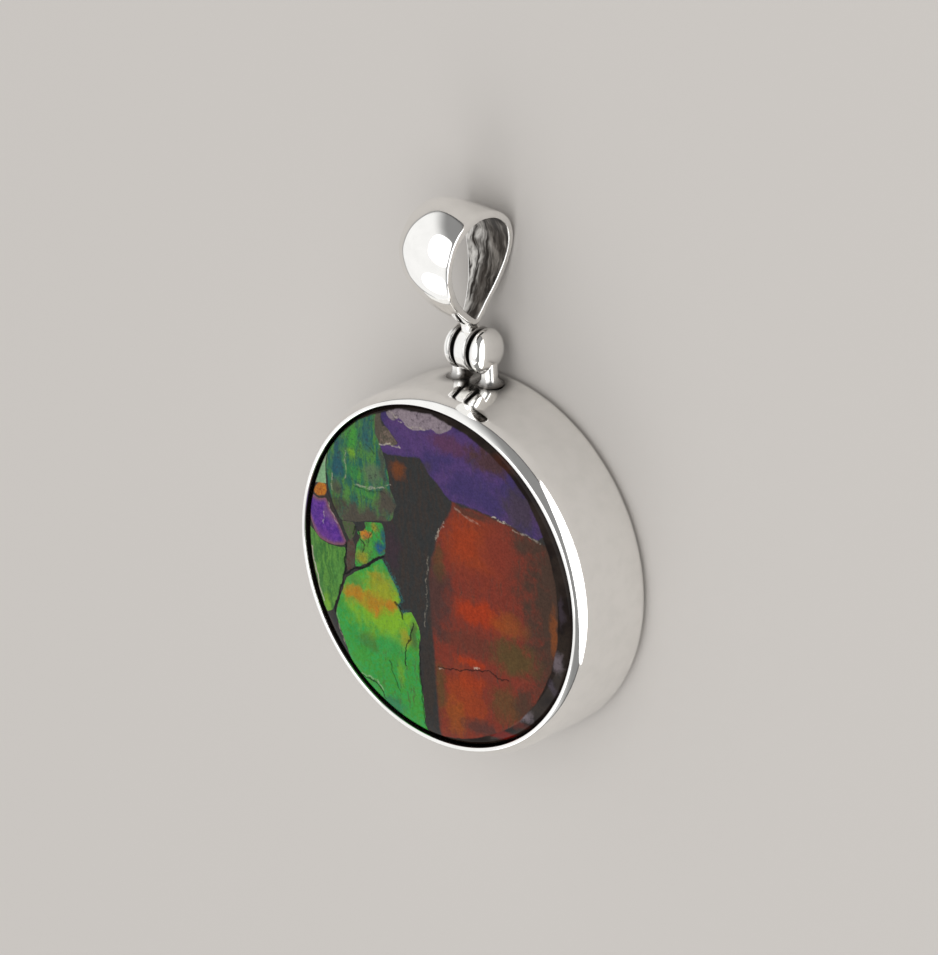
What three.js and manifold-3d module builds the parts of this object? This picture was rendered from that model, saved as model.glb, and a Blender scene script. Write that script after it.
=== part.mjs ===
// A round ammolite stone set in a deep silver cup, with a folded bail that swings on a small hinge.
// Units are millimetres. The pendant lies on its flat back: +Z is out of the stone's face, +Y runs
// from the middle of the cup to the bail, and the origin is the middle of the cup's flat back.

import * as THREE from 'three';
import { mergeVertices } from 'three/addons/utils/BufferGeometryUtils.js';
import Module from 'manifold-3d';

const wasm = await Module();
wasm.setup();

// Driving dimensions
const CUP_RADIUS = 13.0;
const CUP_DEPTH = 7.0;
const WALL = 0.5;
const BACK_THICKNESS = 0.7;
const BACK_ROUNDING = 0.9;
const BURNISH_RADIUS = 2.2;
const BURNISH_DEGREES = 40;
const RIM_ROUNDING = 0.17;
const RIM_START_DEGREES = 75;
const LIP_DEPTH = 0.6;
const LIP_TAPER = 0.07;
const STONE_TOP = 7.35;
const FIT_GAP = 0.15;

// The stone's shoulder and crown: distance in from the lip, distance below the stone's top.
const STONE_CROWN = [
  [0.1, 0.95],
  [0.24, 0.62],
  [0.65, 0.41],
  [1.3, 0.27],
  [2.7, 0.17],
  [6.0, 0.06],
];

const PIN_Y = 15.2;
const PIN_Z = 2.3;
const PIN_RADIUS = 0.45;
const PIN_HALF_LENGTH = 1.4;
const BEAD_RADIUS = 1.6;
const BEAD_ROUNDING = 0.25;
const BEAD_INNER_X = 0.85;
const BEAD_OUTER_X = 1.95;
const POST_RADIUS = 0.6;
const POST_X = 1.3;
const SEAT_GAP = 0.05;
const BORE_CLEARANCE = 0.08;

const EYE_HALF_WIDTH = 0.55;
const NECK_HALF_WIDTH = 0.55;
const NECK_HALF_DEPTH = 0.7;
const NECK_OVERLAP = 0.1;
const BAIL_EDGE = 0.5;
const BAIL_CROWN_FRONT = 1.0;
const BAIL_CROWN_BACK = 0.15;
const CROWN_FADE = [-2.0, 1.0];
const BAIL_SHELL = 0.55;

// Half of the bail's opening, seen from the side: distance up from the pin, distance off its middle.
const OPENING = [
  [2.4, 0.0],
  [2.62, 0.3],
  [3.35, 0.95],
  [4.5, 1.83],
  [5.9, 2.55],
  [7.3, 2.9],
  [8.6, 2.66],
  [9.65, 1.7],
  [10.15, 0.0],
];

// Half the bail's width at distances up from the pin.
const WIDTHS = [
  [2.4, 0.72],
  [3.35, 0.92],
  [4.5, 1.27],
  [5.9, 1.72],
  [7.3, 2.08],
  [8.6, 2.33],
  [10.2, 2.45],
];

// Mesh fineness
const ROUND_SEGMENTS = 96;
const SMALL_SEGMENTS = 32;
const POST_SEGMENTS = 16;
const BAIL_STATIONS = 72;
const BAIL_COLUMNS = 6;

const silver = () => new THREE.MeshStandardMaterial({ color: 0xd8d7d3, metalness: 1.0, roughness: 0.1 });
const stone = () => new THREE.MeshStandardMaterial({ color: 0x4b5a38, metalness: 0.0, roughness: 0.12 });

// ---- closed solids ------------------------------------------------------------------------------

function toSolid(geometry) {
  const bare = geometry.clone();
  bare.deleteAttribute('normal');
  bare.deleteAttribute('uv');
  const merged = mergeVertices(bare, 1e-4);
  const mesh = new wasm.Mesh({
    numProp: 3,
    vertProperties: new Float32Array(merged.attributes.position.array),
    triVerts: new Uint32Array(merged.index.array),
  });
  return new wasm.Manifold(mesh);
}

function toGeometry(solid) {
  const mesh = solid.getMesh();
  const geometry = new THREE.BufferGeometry();
  geometry.setAttribute('position', new THREE.BufferAttribute(mesh.vertProperties, 3));
  geometry.setIndex(new THREE.BufferAttribute(mesh.triVerts, 1));
  geometry.computeVertexNormals();
  return geometry;
}

// A profile of [radius, height] pairs, turned about Z.
function turned(profile, segments) {
  const points = profile.map(([radius, height]) => new THREE.Vector2(radius, height));
  const geometry = new THREE.LatheGeometry(points, segments);
  geometry.rotateX(Math.PI / 2);
  return geometry;
}

// The same, turned about X.
function turnedAboutX(profile, segments) {
  const points = profile.map(([radius, along]) => new THREE.Vector2(radius, along));
  const geometry = new THREE.LatheGeometry(points, segments);
  geometry.rotateZ(-Math.PI / 2);
  return geometry;
}

function rodAboutX(radius, fromX, toX) {
  return turnedAboutX([[0, fromX], [radius, fromX], [radius, toX], [0, toX]], SMALL_SEGMENTS);
}

// ---- the cup and the stone ----------------------------------------------------------------------

const wallInside = CUP_RADIUS - WALL;
const burnishAngle = THREE.MathUtils.degToRad(BURNISH_DEGREES);
const burnishRise = (BURNISH_RADIUS - RIM_ROUNDING) * Math.sin(burnishAngle) + RIM_ROUNDING;
const burnishStart = CUP_DEPTH - burnishRise;
const rimMiddle = CUP_RADIUS - BURNISH_RADIUS + (BURNISH_RADIUS - RIM_ROUNDING) * Math.cos(burnishAngle);
const lipInside = rimMiddle - RIM_ROUNDING;

// Points on an arc about [radius, height], turning from one angle to another in degrees.
function arc(radius, height, size, fromDegrees, toDegrees, steps) {
  const points = [];
  for (let i = 0; i <= steps; i += 1) {
    const angle = THREE.MathUtils.degToRad(fromDegrees + ((toDegrees - fromDegrees) * i) / steps);
    points.push([radius + size * Math.cos(angle), height + size * Math.sin(angle)]);
  }
  return points;
}

// A drawn cup: flat back, straight wall, and a top that is burnished in over the stone to a thin
// round rim.
function cup() {
  const insideRounding = BACK_ROUNDING - WALL;
  return turned([
    [0, 0],
    ...arc(CUP_RADIUS - BACK_ROUNDING, BACK_ROUNDING, BACK_ROUNDING, -90, 0, 4),
    ...arc(CUP_RADIUS - BURNISH_RADIUS, burnishStart, BURNISH_RADIUS, 0, BURNISH_DEGREES, 4),
    ...arc(rimMiddle, CUP_DEPTH - RIM_ROUNDING, RIM_ROUNDING, RIM_START_DEGREES, 180, 3),
    [lipInside + LIP_TAPER, CUP_DEPTH - LIP_DEPTH],
    [wallInside, burnishStart],
    ...arc(wallInside - insideRounding, BACK_THICKNESS + insideRounding, insideRounding, 0, -90, 2),
    [0, BACK_THICKNESS],
  ], ROUND_SEGMENTS);
}

// A thick cabochon: straight sides, a rounded shoulder and a very low crown.
function ammolite() {
  const radius = wallInside - FIT_GAP;
  const base = BACK_THICKNESS + FIT_GAP;
  const chamfer = BACK_ROUNDING - WALL;
  return turned([
    [0, base],
    [radius - chamfer, base],
    [radius, base + chamfer],
    [radius, burnishStart],
    ...STONE_CROWN.map(([inward, below]) => [lipInside - inward, STONE_TOP - below]),
    [0, STONE_TOP],
  ], ROUND_SEGMENTS);
}

// ---- the hinge ----------------------------------------------------------------------------------

// A domed bead on a short post that stands on the cup's wall, bored blind for the pin.
// side is +1 for the bead at +X and -1 for the one at -X.
function hingeBead(side) {
  const base = BEAD_INNER_X + BEAD_ROUNDING;
  const dome = BEAD_OUTER_X - base;
  const steps = 8;
  const profile = [
    [0, BEAD_INNER_X],
    ...arc(BEAD_RADIUS - BEAD_ROUNDING, base, BEAD_ROUNDING, -90, 0, 3),
  ];
  for (let i = 1; i < steps; i += 1) {
    const angle = (i / steps) * Math.PI / 2;
    profile.push([BEAD_RADIUS * Math.cos(angle), base + dome * Math.sin(angle)]);
  }
  profile.push([0, BEAD_OUTER_X]);
  const bead = toSolid(turnedAboutX(profile, SMALL_SEGMENTS));

  const postFoot = CUP_RADIUS + SEAT_GAP - PIN_Y;
  const postTop = -BEAD_RADIUS / 2;
  const postLength = postTop - postFoot;
  const postShape = new THREE.CylinderGeometry(POST_RADIUS, POST_RADIUS, postLength, POST_SEGMENTS);
  postShape.translate(POST_X, (postTop + postFoot) / 2, 0);
  const bore = toSolid(rodAboutX(PIN_RADIUS + BORE_CLEARANCE, 0, PIN_HALF_LENGTH + BORE_CLEARANCE));

  const geometry = toGeometry(bead.add(toSolid(postShape)).subtract(bore));
  if (side < 0) {
    geometry.rotateY(Math.PI);
  }
  return geometry;
}

function hingePin() {
  return rodAboutX(PIN_RADIUS, -PIN_HALF_LENGTH, PIN_HALF_LENGTH);
}

// ---- the bail -----------------------------------------------------------------------------------

function interpolate(table, at) {
  const last = table[table.length - 1];
  for (let i = 1; i < table.length; i += 1) {
    const [a, b] = [table[i - 1], table[i]];
    if (at <= b[0]) {
      const share = Math.max(0, (at - a[0]) / (b[0] - a[0]));
      return a[1] + (b[1] - a[1]) * share;
    }
  }
  return last[1];
}

// The opening's closed outline, up the front arm, over the top and down the back arm. Each station
// holds its place, its outward direction, the half width there and how far the sheet domes.
function bailStations() {
  const front = OPENING.map(([up, out]) => new THREE.Vector3(0, up, out));
  const back = OPENING.slice(1, -1).reverse().map(([up, out]) => new THREE.Vector3(0, up, -out));
  const outline = new THREE.CatmullRomCurve3([...front, ...back], true, 'centripetal');
  const stations = [];
  for (let i = 0; i < BAIL_STATIONS; i += 1) {
    const share = i / BAIL_STATIONS;
    const place = outline.getPointAt(share);
    const along = outline.getTangentAt(share);
    const outward = new THREE.Vector3(0, -along.z, along.y);
    const halfWidth = interpolate(WIDTHS, place.y);
    const frontness = THREE.MathUtils.smoothstep(place.z, ...CROWN_FADE);
    const fullCrown = BAIL_CROWN_BACK + (BAIL_CROWN_FRONT - BAIL_CROWN_BACK) * frontness;
    const crown = fullCrown * (halfWidth / WIDTHS[WIDTHS.length - 1][1]) ** 2;
    stations.push({ place, outward, halfWidth, crown });
  }
  return stations;
}

// One cross-section of the sheet: along the domed outside from -X to +X, and back along the inside.
function bailSection({ place, outward, halfWidth, crown }) {
  const points = [];
  const add = (x, off) => {
    points.push(new THREE.Vector3(x, place.y + outward.y * off, place.z + outward.z * off));
  };
  for (let i = 0; i <= BAIL_COLUMNS; i += 1) {
    const across = -1 + (2 * i) / BAIL_COLUMNS;
    add(across * halfWidth, BAIL_EDGE + crown * (1 - across * across));
  }
  for (let i = BAIL_COLUMNS; i >= 0; i -= 1) {
    const across = -1 + (2 * i) / BAIL_COLUMNS;
    add(across * halfWidth, BAIL_SHELL * crown * (1 - across * across));
  }
  return points;
}

function bailBand(stations) {
  const sections = stations.map(bailSection);
  const size = sections[0].length;
  const positions = sections.flat().flatMap((point) => [point.x, point.y, point.z]);
  const index = [];
  for (let i = 0; i < sections.length; i += 1) {
    const next = (i + 1) % sections.length;
    for (let j = 0; j < size; j += 1) {
      const beside = (j + 1) % size;
      const [a, b] = [i * size + j, i * size + beside];
      const [c, d] = [next * size + j, next * size + beside];
      index.push(a, b, d, a, d, c);
    }
  }
  const geometry = new THREE.BufferGeometry();
  geometry.setAttribute('position', new THREE.Float32BufferAttribute(positions, 3));
  geometry.setIndex(index);
  return geometry;
}

// The band, the neck below it and the eye that turns on the pin, in one piece.
function bail(stations) {
  const rim = BEAD_RADIUS - BEAD_ROUNDING;
  const flat = EYE_HALF_WIDTH - BEAD_ROUNDING;
  const eye = toSolid(turnedAboutX([
    [0, -EYE_HALF_WIDTH],
    ...arc(rim, -flat, BEAD_ROUNDING, -90, 0, 3),
    ...arc(rim, flat, BEAD_ROUNDING, 0, 90, 3),
    [0, EYE_HALF_WIDTH],
  ], SMALL_SEGMENTS));
  const neckFoot = BEAD_RADIUS / 2;
  const neckTop = OPENING[0][0] - NECK_OVERLAP;
  const neckShape = new THREE.BoxGeometry(2 * NECK_HALF_WIDTH, neckTop - neckFoot, 2 * NECK_HALF_DEPTH);
  neckShape.translate(0, (neckTop + neckFoot) / 2, 0);
  const bore = toSolid(rodAboutX(PIN_RADIUS + BORE_CLEARANCE, -2 * EYE_HALF_WIDTH, 2 * EYE_HALF_WIDTH));
  const whole = toSolid(bailBand(stations)).add(toSolid(neckShape)).add(eye).subtract(bore);
  return toGeometry(whole);
}

// How far the bail leans towards the face so that its back arm just lies on the surface.
function restingLean(stations) {
  let lean = -Infinity;
  for (const point of stations.map(bailSection).flat()) {
    const reach = Math.hypot(point.y, point.z);
    const below = Math.atan2(-point.z, point.y);
    if (reach > PIN_Z) {
      lean = Math.max(lean, below - Math.asin(PIN_Z / reach));
    }
  }
  return lean;
}

// ---- the pendant --------------------------------------------------------------------------------

function named(name, geometry, material) {
  const mesh = new THREE.Mesh(geometry, material);
  mesh.name = name;
  return mesh;
}

const pendant = new THREE.Group();
pendant.add(named('silver_cup', cup(), silver()));
pendant.add(named('ammolite_stone', ammolite(), stone()));

const hinge = new THREE.Group();
hinge.position.set(0, PIN_Y, PIN_Z);
hinge.add(named('hinge_bead_left', hingeBead(-1), silver()));
hinge.add(named('hinge_bead_right', hingeBead(1), silver()));
hinge.add(named('hinge_pin', hingePin(), silver()));
pendant.add(hinge);

const stations = bailStations();
const swing = new THREE.Group();
swing.rotation.x = restingLean(stations);
swing.add(named('bail', bail(stations), silver()));
hinge.add(swing);

export default pendant;
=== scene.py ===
# %% [markdown]
# # An ammolite pendant
# A round of ammolite, the polished fossil shell of an ammonite, sits in a deep silver cup. A folded
# silver bail swings above it on a small hinge. This lesson dresses the measured model of the pendant:
# it makes the fine surfaces, the silver and the stone, and leaves every size as it was measured.

# %% The frame that carries every piece
import math
from functools import partial

import bpy
import numpy
from mathutils import Matrix, Vector
from mathutils.kdtree import KDTree


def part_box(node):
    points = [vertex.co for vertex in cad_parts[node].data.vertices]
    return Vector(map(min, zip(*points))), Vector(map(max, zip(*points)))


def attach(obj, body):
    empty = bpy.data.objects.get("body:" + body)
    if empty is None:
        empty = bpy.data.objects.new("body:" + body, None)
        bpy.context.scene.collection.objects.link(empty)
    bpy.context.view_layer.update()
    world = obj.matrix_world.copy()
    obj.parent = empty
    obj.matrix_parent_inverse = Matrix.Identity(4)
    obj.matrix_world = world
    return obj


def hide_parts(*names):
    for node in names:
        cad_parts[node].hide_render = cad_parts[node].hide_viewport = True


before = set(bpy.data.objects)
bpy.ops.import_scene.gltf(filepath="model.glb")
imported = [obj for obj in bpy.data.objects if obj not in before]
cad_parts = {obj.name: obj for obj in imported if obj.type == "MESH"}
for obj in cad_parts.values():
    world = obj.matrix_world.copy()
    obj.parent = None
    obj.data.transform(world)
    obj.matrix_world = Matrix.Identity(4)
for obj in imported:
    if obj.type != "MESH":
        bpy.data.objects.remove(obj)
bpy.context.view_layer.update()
MM = 0.001

# %% [markdown]
# ## The measures that everything shares
# The measured model is faceted, but its boxes are exact. The cup's box gives its radius and depth, and
# the pin's box gives the line that the bail swings about. The rest are the jeweller's own measures, in
# millimetres: sheet thickness, roundings and radii.

# %% Measures from the frame
cup_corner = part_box("silver_cup")[1]
pin_low, pin_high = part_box("hinge_pin")
CUP_RADIUS = cup_corner.x / MM
CUP_DEPTH = cup_corner.z / MM
PIN_RADIUS = (pin_high.z - pin_low.z) / 2 / MM
PIN_HALF_LENGTH = pin_high.x / MM
PIN_Y = (pin_low.y + pin_high.y) / 2 / MM
PIN_Z = (pin_low.z + pin_high.z) / 2 / MM
print(f"cup {CUP_RADIUS:.2f} by {CUP_DEPTH:.2f} mm, pin at y {PIN_Y:.2f} z {PIN_Z:.2f} mm")

# %% [markdown]
# ## Camera, floor and light
# Jewellery is shot with a long lens, so that circles stay true. The camera stands to the right of the
# pendant, above its face, and is rolled so that the bail points up in the picture. Its three axes are
# written as unit vectors, which is simpler than angles when a camera is rolled.

# %% Camera
LENS = 400.0
SENSOR = 36.0
PICTURE_HEIGHT = 955
PIXELS_PER_MM = 14.79
LOOK_AT = Vector((0.078, 6.163, 3.517)) * MM
CAMERA_RIGHT = Vector((0.742, -0.0415, -0.669)).normalized()
CAMERA_BACK = Vector((0.6323, 0.3752, 0.6778)).normalized()


def make_camera():
    data = bpy.data.cameras.new("studio_camera")
    data.lens = LENS
    data.sensor_width = SENSOR
    data.clip_start = 0.01
    data.clip_end = 20.0
    camera = bpy.data.objects.new("studio_camera", data)
    bpy.context.scene.collection.objects.link(camera)
    up = CAMERA_BACK.cross(CAMERA_RIGHT)
    axes = Matrix((CAMERA_RIGHT, up, CAMERA_BACK)).transposed()
    distance = LENS / SENSOR * PICTURE_HEIGHT / PIXELS_PER_MM * MM
    camera.matrix_world = Matrix.Translation(LOOK_AT + CAMERA_BACK * distance) @ axes.to_4x4()
    bpy.context.scene.camera = camera
    return distance


print(f"camera {make_camera():.3f} m from the pendant")

# %% [markdown]
# Polished silver has no colour of its own: it shows the room. So the room is planned as a set of things
# to reflect. Every panel is given by where it stands on the sky, as a compass angle from +X and a height
# above the horizon, and by how wide and high it looks from the pendant, all in degrees. Its strength
# is its brightness, where 1 is a lit sheet of white paper, because that is what the silver repeats.

# %% Soft panels


def towards(azimuth, elevation):
    """The unit vector that points at a place on the sky."""
    turn, rise = math.radians(azimuth), math.radians(elevation)
    return Vector((math.cos(turn) * math.cos(rise), math.sin(turn) * math.cos(rise), math.sin(rise)))


def soft_panel(name, azimuth, elevation, width, height, brightness, distance=0.7):
    data = bpy.data.lights.new(name, "AREA")
    data.shape = "ELLIPSE"
    data.size = 2 * distance * math.tan(math.radians(width / 2))
    data.size_y = 2 * distance * math.tan(math.radians(height / 2))
    area = math.pi / 4 * data.size * data.size_y
    data.energy = brightness * math.pi * area
    panel = bpy.data.objects.new(name, data)
    bpy.context.scene.collection.objects.link(panel)
    direction = towards(azimuth, elevation)
    facing = direction.to_track_quat("Z", "Y").to_matrix()
    panel.matrix_world = Matrix.Translation(direction * distance) @ facing.to_4x4()
    panel.visible_camera = False
    print(f"{name}: {data.size * 1000:.0f} by {data.size_y * 1000:.0f} mm, {data.energy:.2f} W")
    return panel


soft_panel("panel_above", 30, 62, 76, 52, 1.2)
soft_panel("panel_front", 262, 34, 44, 44, 1.25)
strip = soft_panel("panel_strip", 5, 3, 94, 44, 2.3, distance=0.042)
strip.visible_diffuse = False

# %% [markdown]
# A sky, a shader and a Geometry Nodes tree all have the same form: nodes, their settings, and links
# between their sockets. So one helper adds a node to any of them.

# %% Adding nodes


def add_node(tree, kind, inputs=None, **settings):
    """A new node: its settings are made first, then its sockets are filled or linked."""
    node = tree.nodes.new(kind)
    for key, value in settings.items():
        setattr(node, key, value)
    for key, value in (inputs or {}).items():
        if isinstance(value, bpy.types.NodeSocket):
            tree.links.new(value, node.inputs[key])
        else:
            node.inputs[key].default_value = value
    return node


print("add_node serves the sky, the shaders and the turning tree")

# %% [markdown]
# The rest of the room is a white cove: a curved paper wall that starts behind the pendant and comes
# round its left side. It fades out towards the camera, where the room is darker, and it ends just above
# the table in a thin dark line. That line is what makes polished silver look like metal and not like
# white paint.

# %% Sky
COVE = towards(195, 38)
COVE_EDGE = (-0.15, 0.35)
COVE_BRIGHT = 1.0
ROOM_BRIGHT = 0.27
HORIZON = (0.01, 0.07)
HORIZON_BRIGHT = 0.25
SKY_TINT = (1.0, 1.0, 0.995, 1)


def make_sky():
    world = bpy.data.worlds.new("studio_sky")
    world.use_nodes = True
    bpy.context.scene.world = world
    tree = world.node_tree
    add = partial(add_node, tree)

    def fade(value, edge, dark, bright):
        inputs = {0: value, 1: edge[0], 2: edge[1], 3: dark, 4: bright}
        return add("ShaderNodeMapRange", inputs, interpolation_type="SMOOTHSTEP").outputs[0]

    direction = add("ShaderNodeTexCoord").outputs["Generated"]
    nearness = add("ShaderNodeVectorMath", {0: direction, 1: COVE}, operation="DOT_PRODUCT")
    height = add("ShaderNodeSeparateXYZ", {0: direction}).outputs["Z"]
    cove = fade(nearness.outputs["Value"], COVE_EDGE, ROOM_BRIGHT, COVE_BRIGHT)
    rising = fade(height, HORIZON, HORIZON_BRIGHT, 1.0)
    level = add("ShaderNodeMath", {0: cove, 1: rising}, operation="MULTIPLY")
    tree.links.new(level.outputs[0], tree.nodes["Background"].inputs["Strength"])
    tree.nodes["Background"].inputs["Color"].default_value = SKY_TINT


make_sky()
bpy.context.scene.view_settings.view_transform = "Standard"
print(f"sky: room {ROOM_BRIGHT}, cove {COVE_BRIGHT}, horizon {HORIZON_BRIGHT}")

# %% [markdown]
# ## Materials as formulas
# A shader is easier to read as a formula than as a net of wires. `Field` wraps one socket, and + - *
# on it add Math nodes.

# %% Fields


class Field:
    """A node's output that can be used in a formula."""

    def __init__(self, recipe, socket):
        self.recipe = recipe
        self.socket = socket

    def _with(self, operation, first, second):
        return self.recipe.node("ShaderNodeMath", {"operation": operation}, {0: first, 1: second})

    def __add__(self, other):
        return self._with("ADD", self, other)

    def __radd__(self, other):
        return self._with("ADD", other, self)

    def __sub__(self, other):
        return self._with("SUBTRACT", self, other)

    def __rsub__(self, other):
        return self._with("SUBTRACT", other, self)

    def __mul__(self, other):
        return self._with("MULTIPLY", self, other)

    def __rmul__(self, other):
        return self._with("MULTIPLY", other, self)


print("a Field is a node's output that can stand in a formula")

# %% [markdown]
# A socket takes a number, a colour or another node's output. `Workshop` is one material, and feeds all
# three in the same way. Its `node` method takes the node's kind, its settings and what goes into its
# sockets.

# %% The workshop that adds nodes


class Workshop:
    """One material. node() adds a node of any kind and returns its output as a Field."""

    def __init__(self, name):
        self.material = bpy.data.materials.new(name)
        self.material.use_nodes = True
        self.tree = self.material.node_tree
        self.shader = self.tree.nodes["Principled BSDF"]

    def node(self, kind, settings=None, inputs=None, output=0):
        made = add_node(self.tree, kind, **(settings or {}))
        for key, value in (inputs or {}).items():
            self.feed(made.inputs[key], value)
        return Field(self, made.outputs[output])

    def feed(self, socket, value):
        if isinstance(value, Field):
            self.tree.links.new(value.socket, socket)
        elif isinstance(value, (tuple, list)) and socket.type == "RGBA":
            socket.default_value = (*value[:3], 1.0)
        else:
            socket.default_value = value

    def finish(self, **values):
        """Feeds the shader's sockets, whose names are written with _ for a space."""
        for key, value in values.items():
            self.feed(self.shader.inputs[key.replace("_", " ")], value)
        print(f"{self.material.name}: {len(self.tree.nodes)} nodes")
        return self.material


print("a Workshop adds nodes to one material")

# %% [markdown]
# A few nodes come back in every finish: the place of a point, a noise, a smooth step, a mix of two
# colours, a value that the mesh carries, and a bump. `Recipe` gives each of them a short name.

# %% Recipes


class Recipe(Workshop):
    """A material, with the nodes that polished things use again and again."""

    def place(self):
        """Where a point is on the pendant, in millimetres."""
        return self.vector("SCALE", self.node("ShaderNodeTexCoord", output="Object"), Scale=1 / MM)

    def shift(self, vector, scale, offset=(0, 0, 0)):
        """vector * scale + offset, each axis on its own."""
        settings = {"operation": "MULTIPLY_ADD"}
        return self.node("ShaderNodeVectorMath", settings, {0: vector, 1: scale, 2: offset})

    def noise(self, vector, scale=1.0, detail=2.0, roughness=0.5, output=0):
        inputs = {"Vector": vector, "Scale": scale, "Detail": detail, "Roughness": roughness}
        return self.node("ShaderNodeTexNoise", None, inputs, output)

    def ease(self, value, low, high, to_low=0.0, to_high=1.0):
        """A smooth step from to_low to to_high as value goes from low to high."""
        settings = {"interpolation_type": "SMOOTHSTEP"}
        inputs = {0: value, 1: low, 2: high, 3: to_low, 4: to_high}
        return self.node("ShaderNodeMapRange", settings, inputs)

    def mix(self, first, second, share):
        settings = {"data_type": "RGBA"}
        return self.node("ShaderNodeMix", settings, {"Factor": share, 6: first, 7: second}, output=2)

    def stored(self, name, output="Fac"):
        """An attribute that the mesh carries."""
        return self.node("ShaderNodeAttribute", {"attribute_name": name}, output=output)

    def bump(self, height, distance):
        return self.node("ShaderNodeBump", None, {"Height": height, "Distance": distance})

    def vector(self, operation, first, second=None, output=0, **named):
        """Vector maths: adding, scaling, the length of a vector and the like."""
        inputs = {0: first, **named}
        if second is not None:
            inputs[1] = second
        return self.node("ShaderNodeVectorMath", {"operation": operation}, inputs, output)


print("a Recipe is a Workshop that knows the usual nodes")

# %% [markdown]
# Colours are easiest to choose as they look on a screen, from 0 to 255. A shader counts light instead,
# so each one is turned into its linear share.

# %% Screen colours


def linear(red, green, blue):
    """A screen colour, 0 to 255, as the linear values that a shader takes."""
    shares = [channel / 255 for channel in (red, green, blue)]
    return tuple(s / 12.92 if s <= 0.04045 else ((s + 0.055) / 1.055) ** 2.4 for s in shares)


print("mid grey on the screen is", [round(share, 3) for share in linear(128, 128, 128)])

# %% [markdown]
# The table is one big pale sheet of matt paper, a hair below the pendant so that the two surfaces
# don't share a plane. It has no gloss at all, or the lamp close to the pendant would show in it.

# %% Floor
FLOOR_HALF = 1.5
FLOOR_BELOW = 0.02 * MM
FLOOR_TINT = linear(187, 183, 179)


def make_floor():
    mesh = bpy.data.meshes.new("studio_floor")
    turns = ((-1, -1), (1, -1), (1, 1), (-1, 1))
    corners = [(x * FLOOR_HALF, y * FLOOR_HALF, -FLOOR_BELOW) for x, y in turns]
    mesh.from_pydata(corners, [], [(0, 1, 2, 3)])
    floor = bpy.data.objects.new("studio_floor", mesh)
    bpy.context.scene.collection.objects.link(floor)
    paper = Recipe("pale_floor")
    mesh.materials.append(paper.finish(Base_Color=FLOOR_TINT, Roughness=0.9, Specular_IOR_Level=0.0))


make_floor()
print(f"the table is {2 * FLOOR_HALF:.0f} m wide")

# %% [markdown]
# ## Polished silver
# New silver is a mirror, but a worn piece has a haze of very fine scratches and tarnish in the places
# that a polishing cloth can't reach. The scratches are thin noise, stretched in two directions and
# laid over each other in a bump far below a hundredth of a millimetre. The tarnish follows an attribute
# called recess, which each piece stores where it was left unpolished. Round the hinge recess also paints
# shade: there the dark tarnish colour stands partly for the shade between the parts. Inside the bail the
# sheet was only brushed, so there the bump and the stains follow a second attribute, flow, along the
# sheet.

# %% Silver tints
CLEAN_SILVER, WORN_SILVER = (0.945, 0.935, 0.915), (0.90, 0.89, 0.87)
DARK_TARNISH_AND_SHADE, GREY_TARNISH_AND_SHADE = (0.030, 0.026, 0.023), (0.22, 0.20, 0.18)
RUBBED_SILVER, BLACK_STAIN = (0.62, 0.60, 0.57), (0.045, 0.038, 0.033)
POLISHED, HAZY = 0.045, 0.10
TARNISH_ROUGHNESS = 0.26
SCRATCH_STRETCHES = ((14.0, 0.9, 3.0), (1.1, 12.0, 4.0))
BRUSH_STRETCH = (2.6, 0.45, 0.0)
BLOTCH_STRETCH, BLOTCH_OFFSET = (0.8, 0.5, 0.0), (2.0, 5.0, 0.0)
SCRATCH_HEIGHT, BRUSH_HEIGHT = 0.006, 0.5
BUMP_HEIGHT = 0.008 * MM
print(f"roughness: {POLISHED} where clean, {HAZY + TARNISH_ROUGHNESS:.2f} under tarnish")

# %% [markdown]
# The recipe reads from top to bottom: the noises, then the colours of clean and of tarnished silver,
# then the relief, and last the sockets that they feed. Tarnish, which round the hinge is also painted
# shade, takes over from clean silver as recess goes from 0 to 1.

# %% Silver recipe


def silver_recipe():
    recipe = Recipe("worn_silver")
    place = recipe.place()
    recess = recipe.stored("recess")
    flow = recipe.stored("flow", "Vector")

    haze = recipe.noise(place, 0.9, 3.0)
    wave = recipe.noise(place, 0.7, 1.0)
    one_way, other_way = (recipe.shift(place, stretch) for stretch in SCRATCH_STRETCHES)
    scratches = recipe.noise(one_way, 1.0, 1.0) + recipe.noise(other_way, 1.0, 1.0)
    bent = recipe.vector("ADD", flow, recipe.noise(flow, 0.6, output=1))
    brushed = recipe.noise(recipe.shift(bent, BRUSH_STRETCH), 1.0, 5.0, 0.6)
    blotches = recipe.noise(recipe.shift(bent, BLOTCH_STRETCH, BLOTCH_OFFSET), 1.0, 3.0, 0.6)
    across = recipe.node("ShaderNodeSeparateXYZ", None, {0: flow})

    clean = recipe.mix(CLEAN_SILVER, WORN_SILVER, recipe.ease(haze, 0.35, 0.75))
    rubbed = recipe.ease(across + blotches * 2.2, -0.2, 1.6, 1.0, 0.0)
    # real tarnish inside the bail, and round the hinge also painted shade between the parts
    tarnish = recipe.mix(DARK_TARNISH_AND_SHADE, GREY_TARNISH_AND_SHADE, recipe.ease(brushed, 0.40, 0.66))
    tarnish = recipe.mix(tarnish, RUBBED_SILVER, rubbed * recipe.ease(brushed, 0.36, 0.60))
    tarnish = recipe.mix(tarnish, BLACK_STAIN, recipe.ease(blotches, 0.46, 0.64) * 0.7)
    unpolished = recipe.ease(recess, 0.92, 1.0)
    relief = wave + scratches * SCRATCH_HEIGHT + brushed * unpolished * BRUSH_HEIGHT
    return recipe.finish(
        Base_Color=recipe.mix(clean, tarnish, recess),
        Metallic=1.0,
        Roughness=recipe.ease(haze, 0.3, 0.8, POLISHED, HAZY) + recess * TARNISH_ROUGHNESS,
        Normal=recipe.bump(relief, BUMP_HEIGHT),
    )


silver = silver_recipe()

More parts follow.
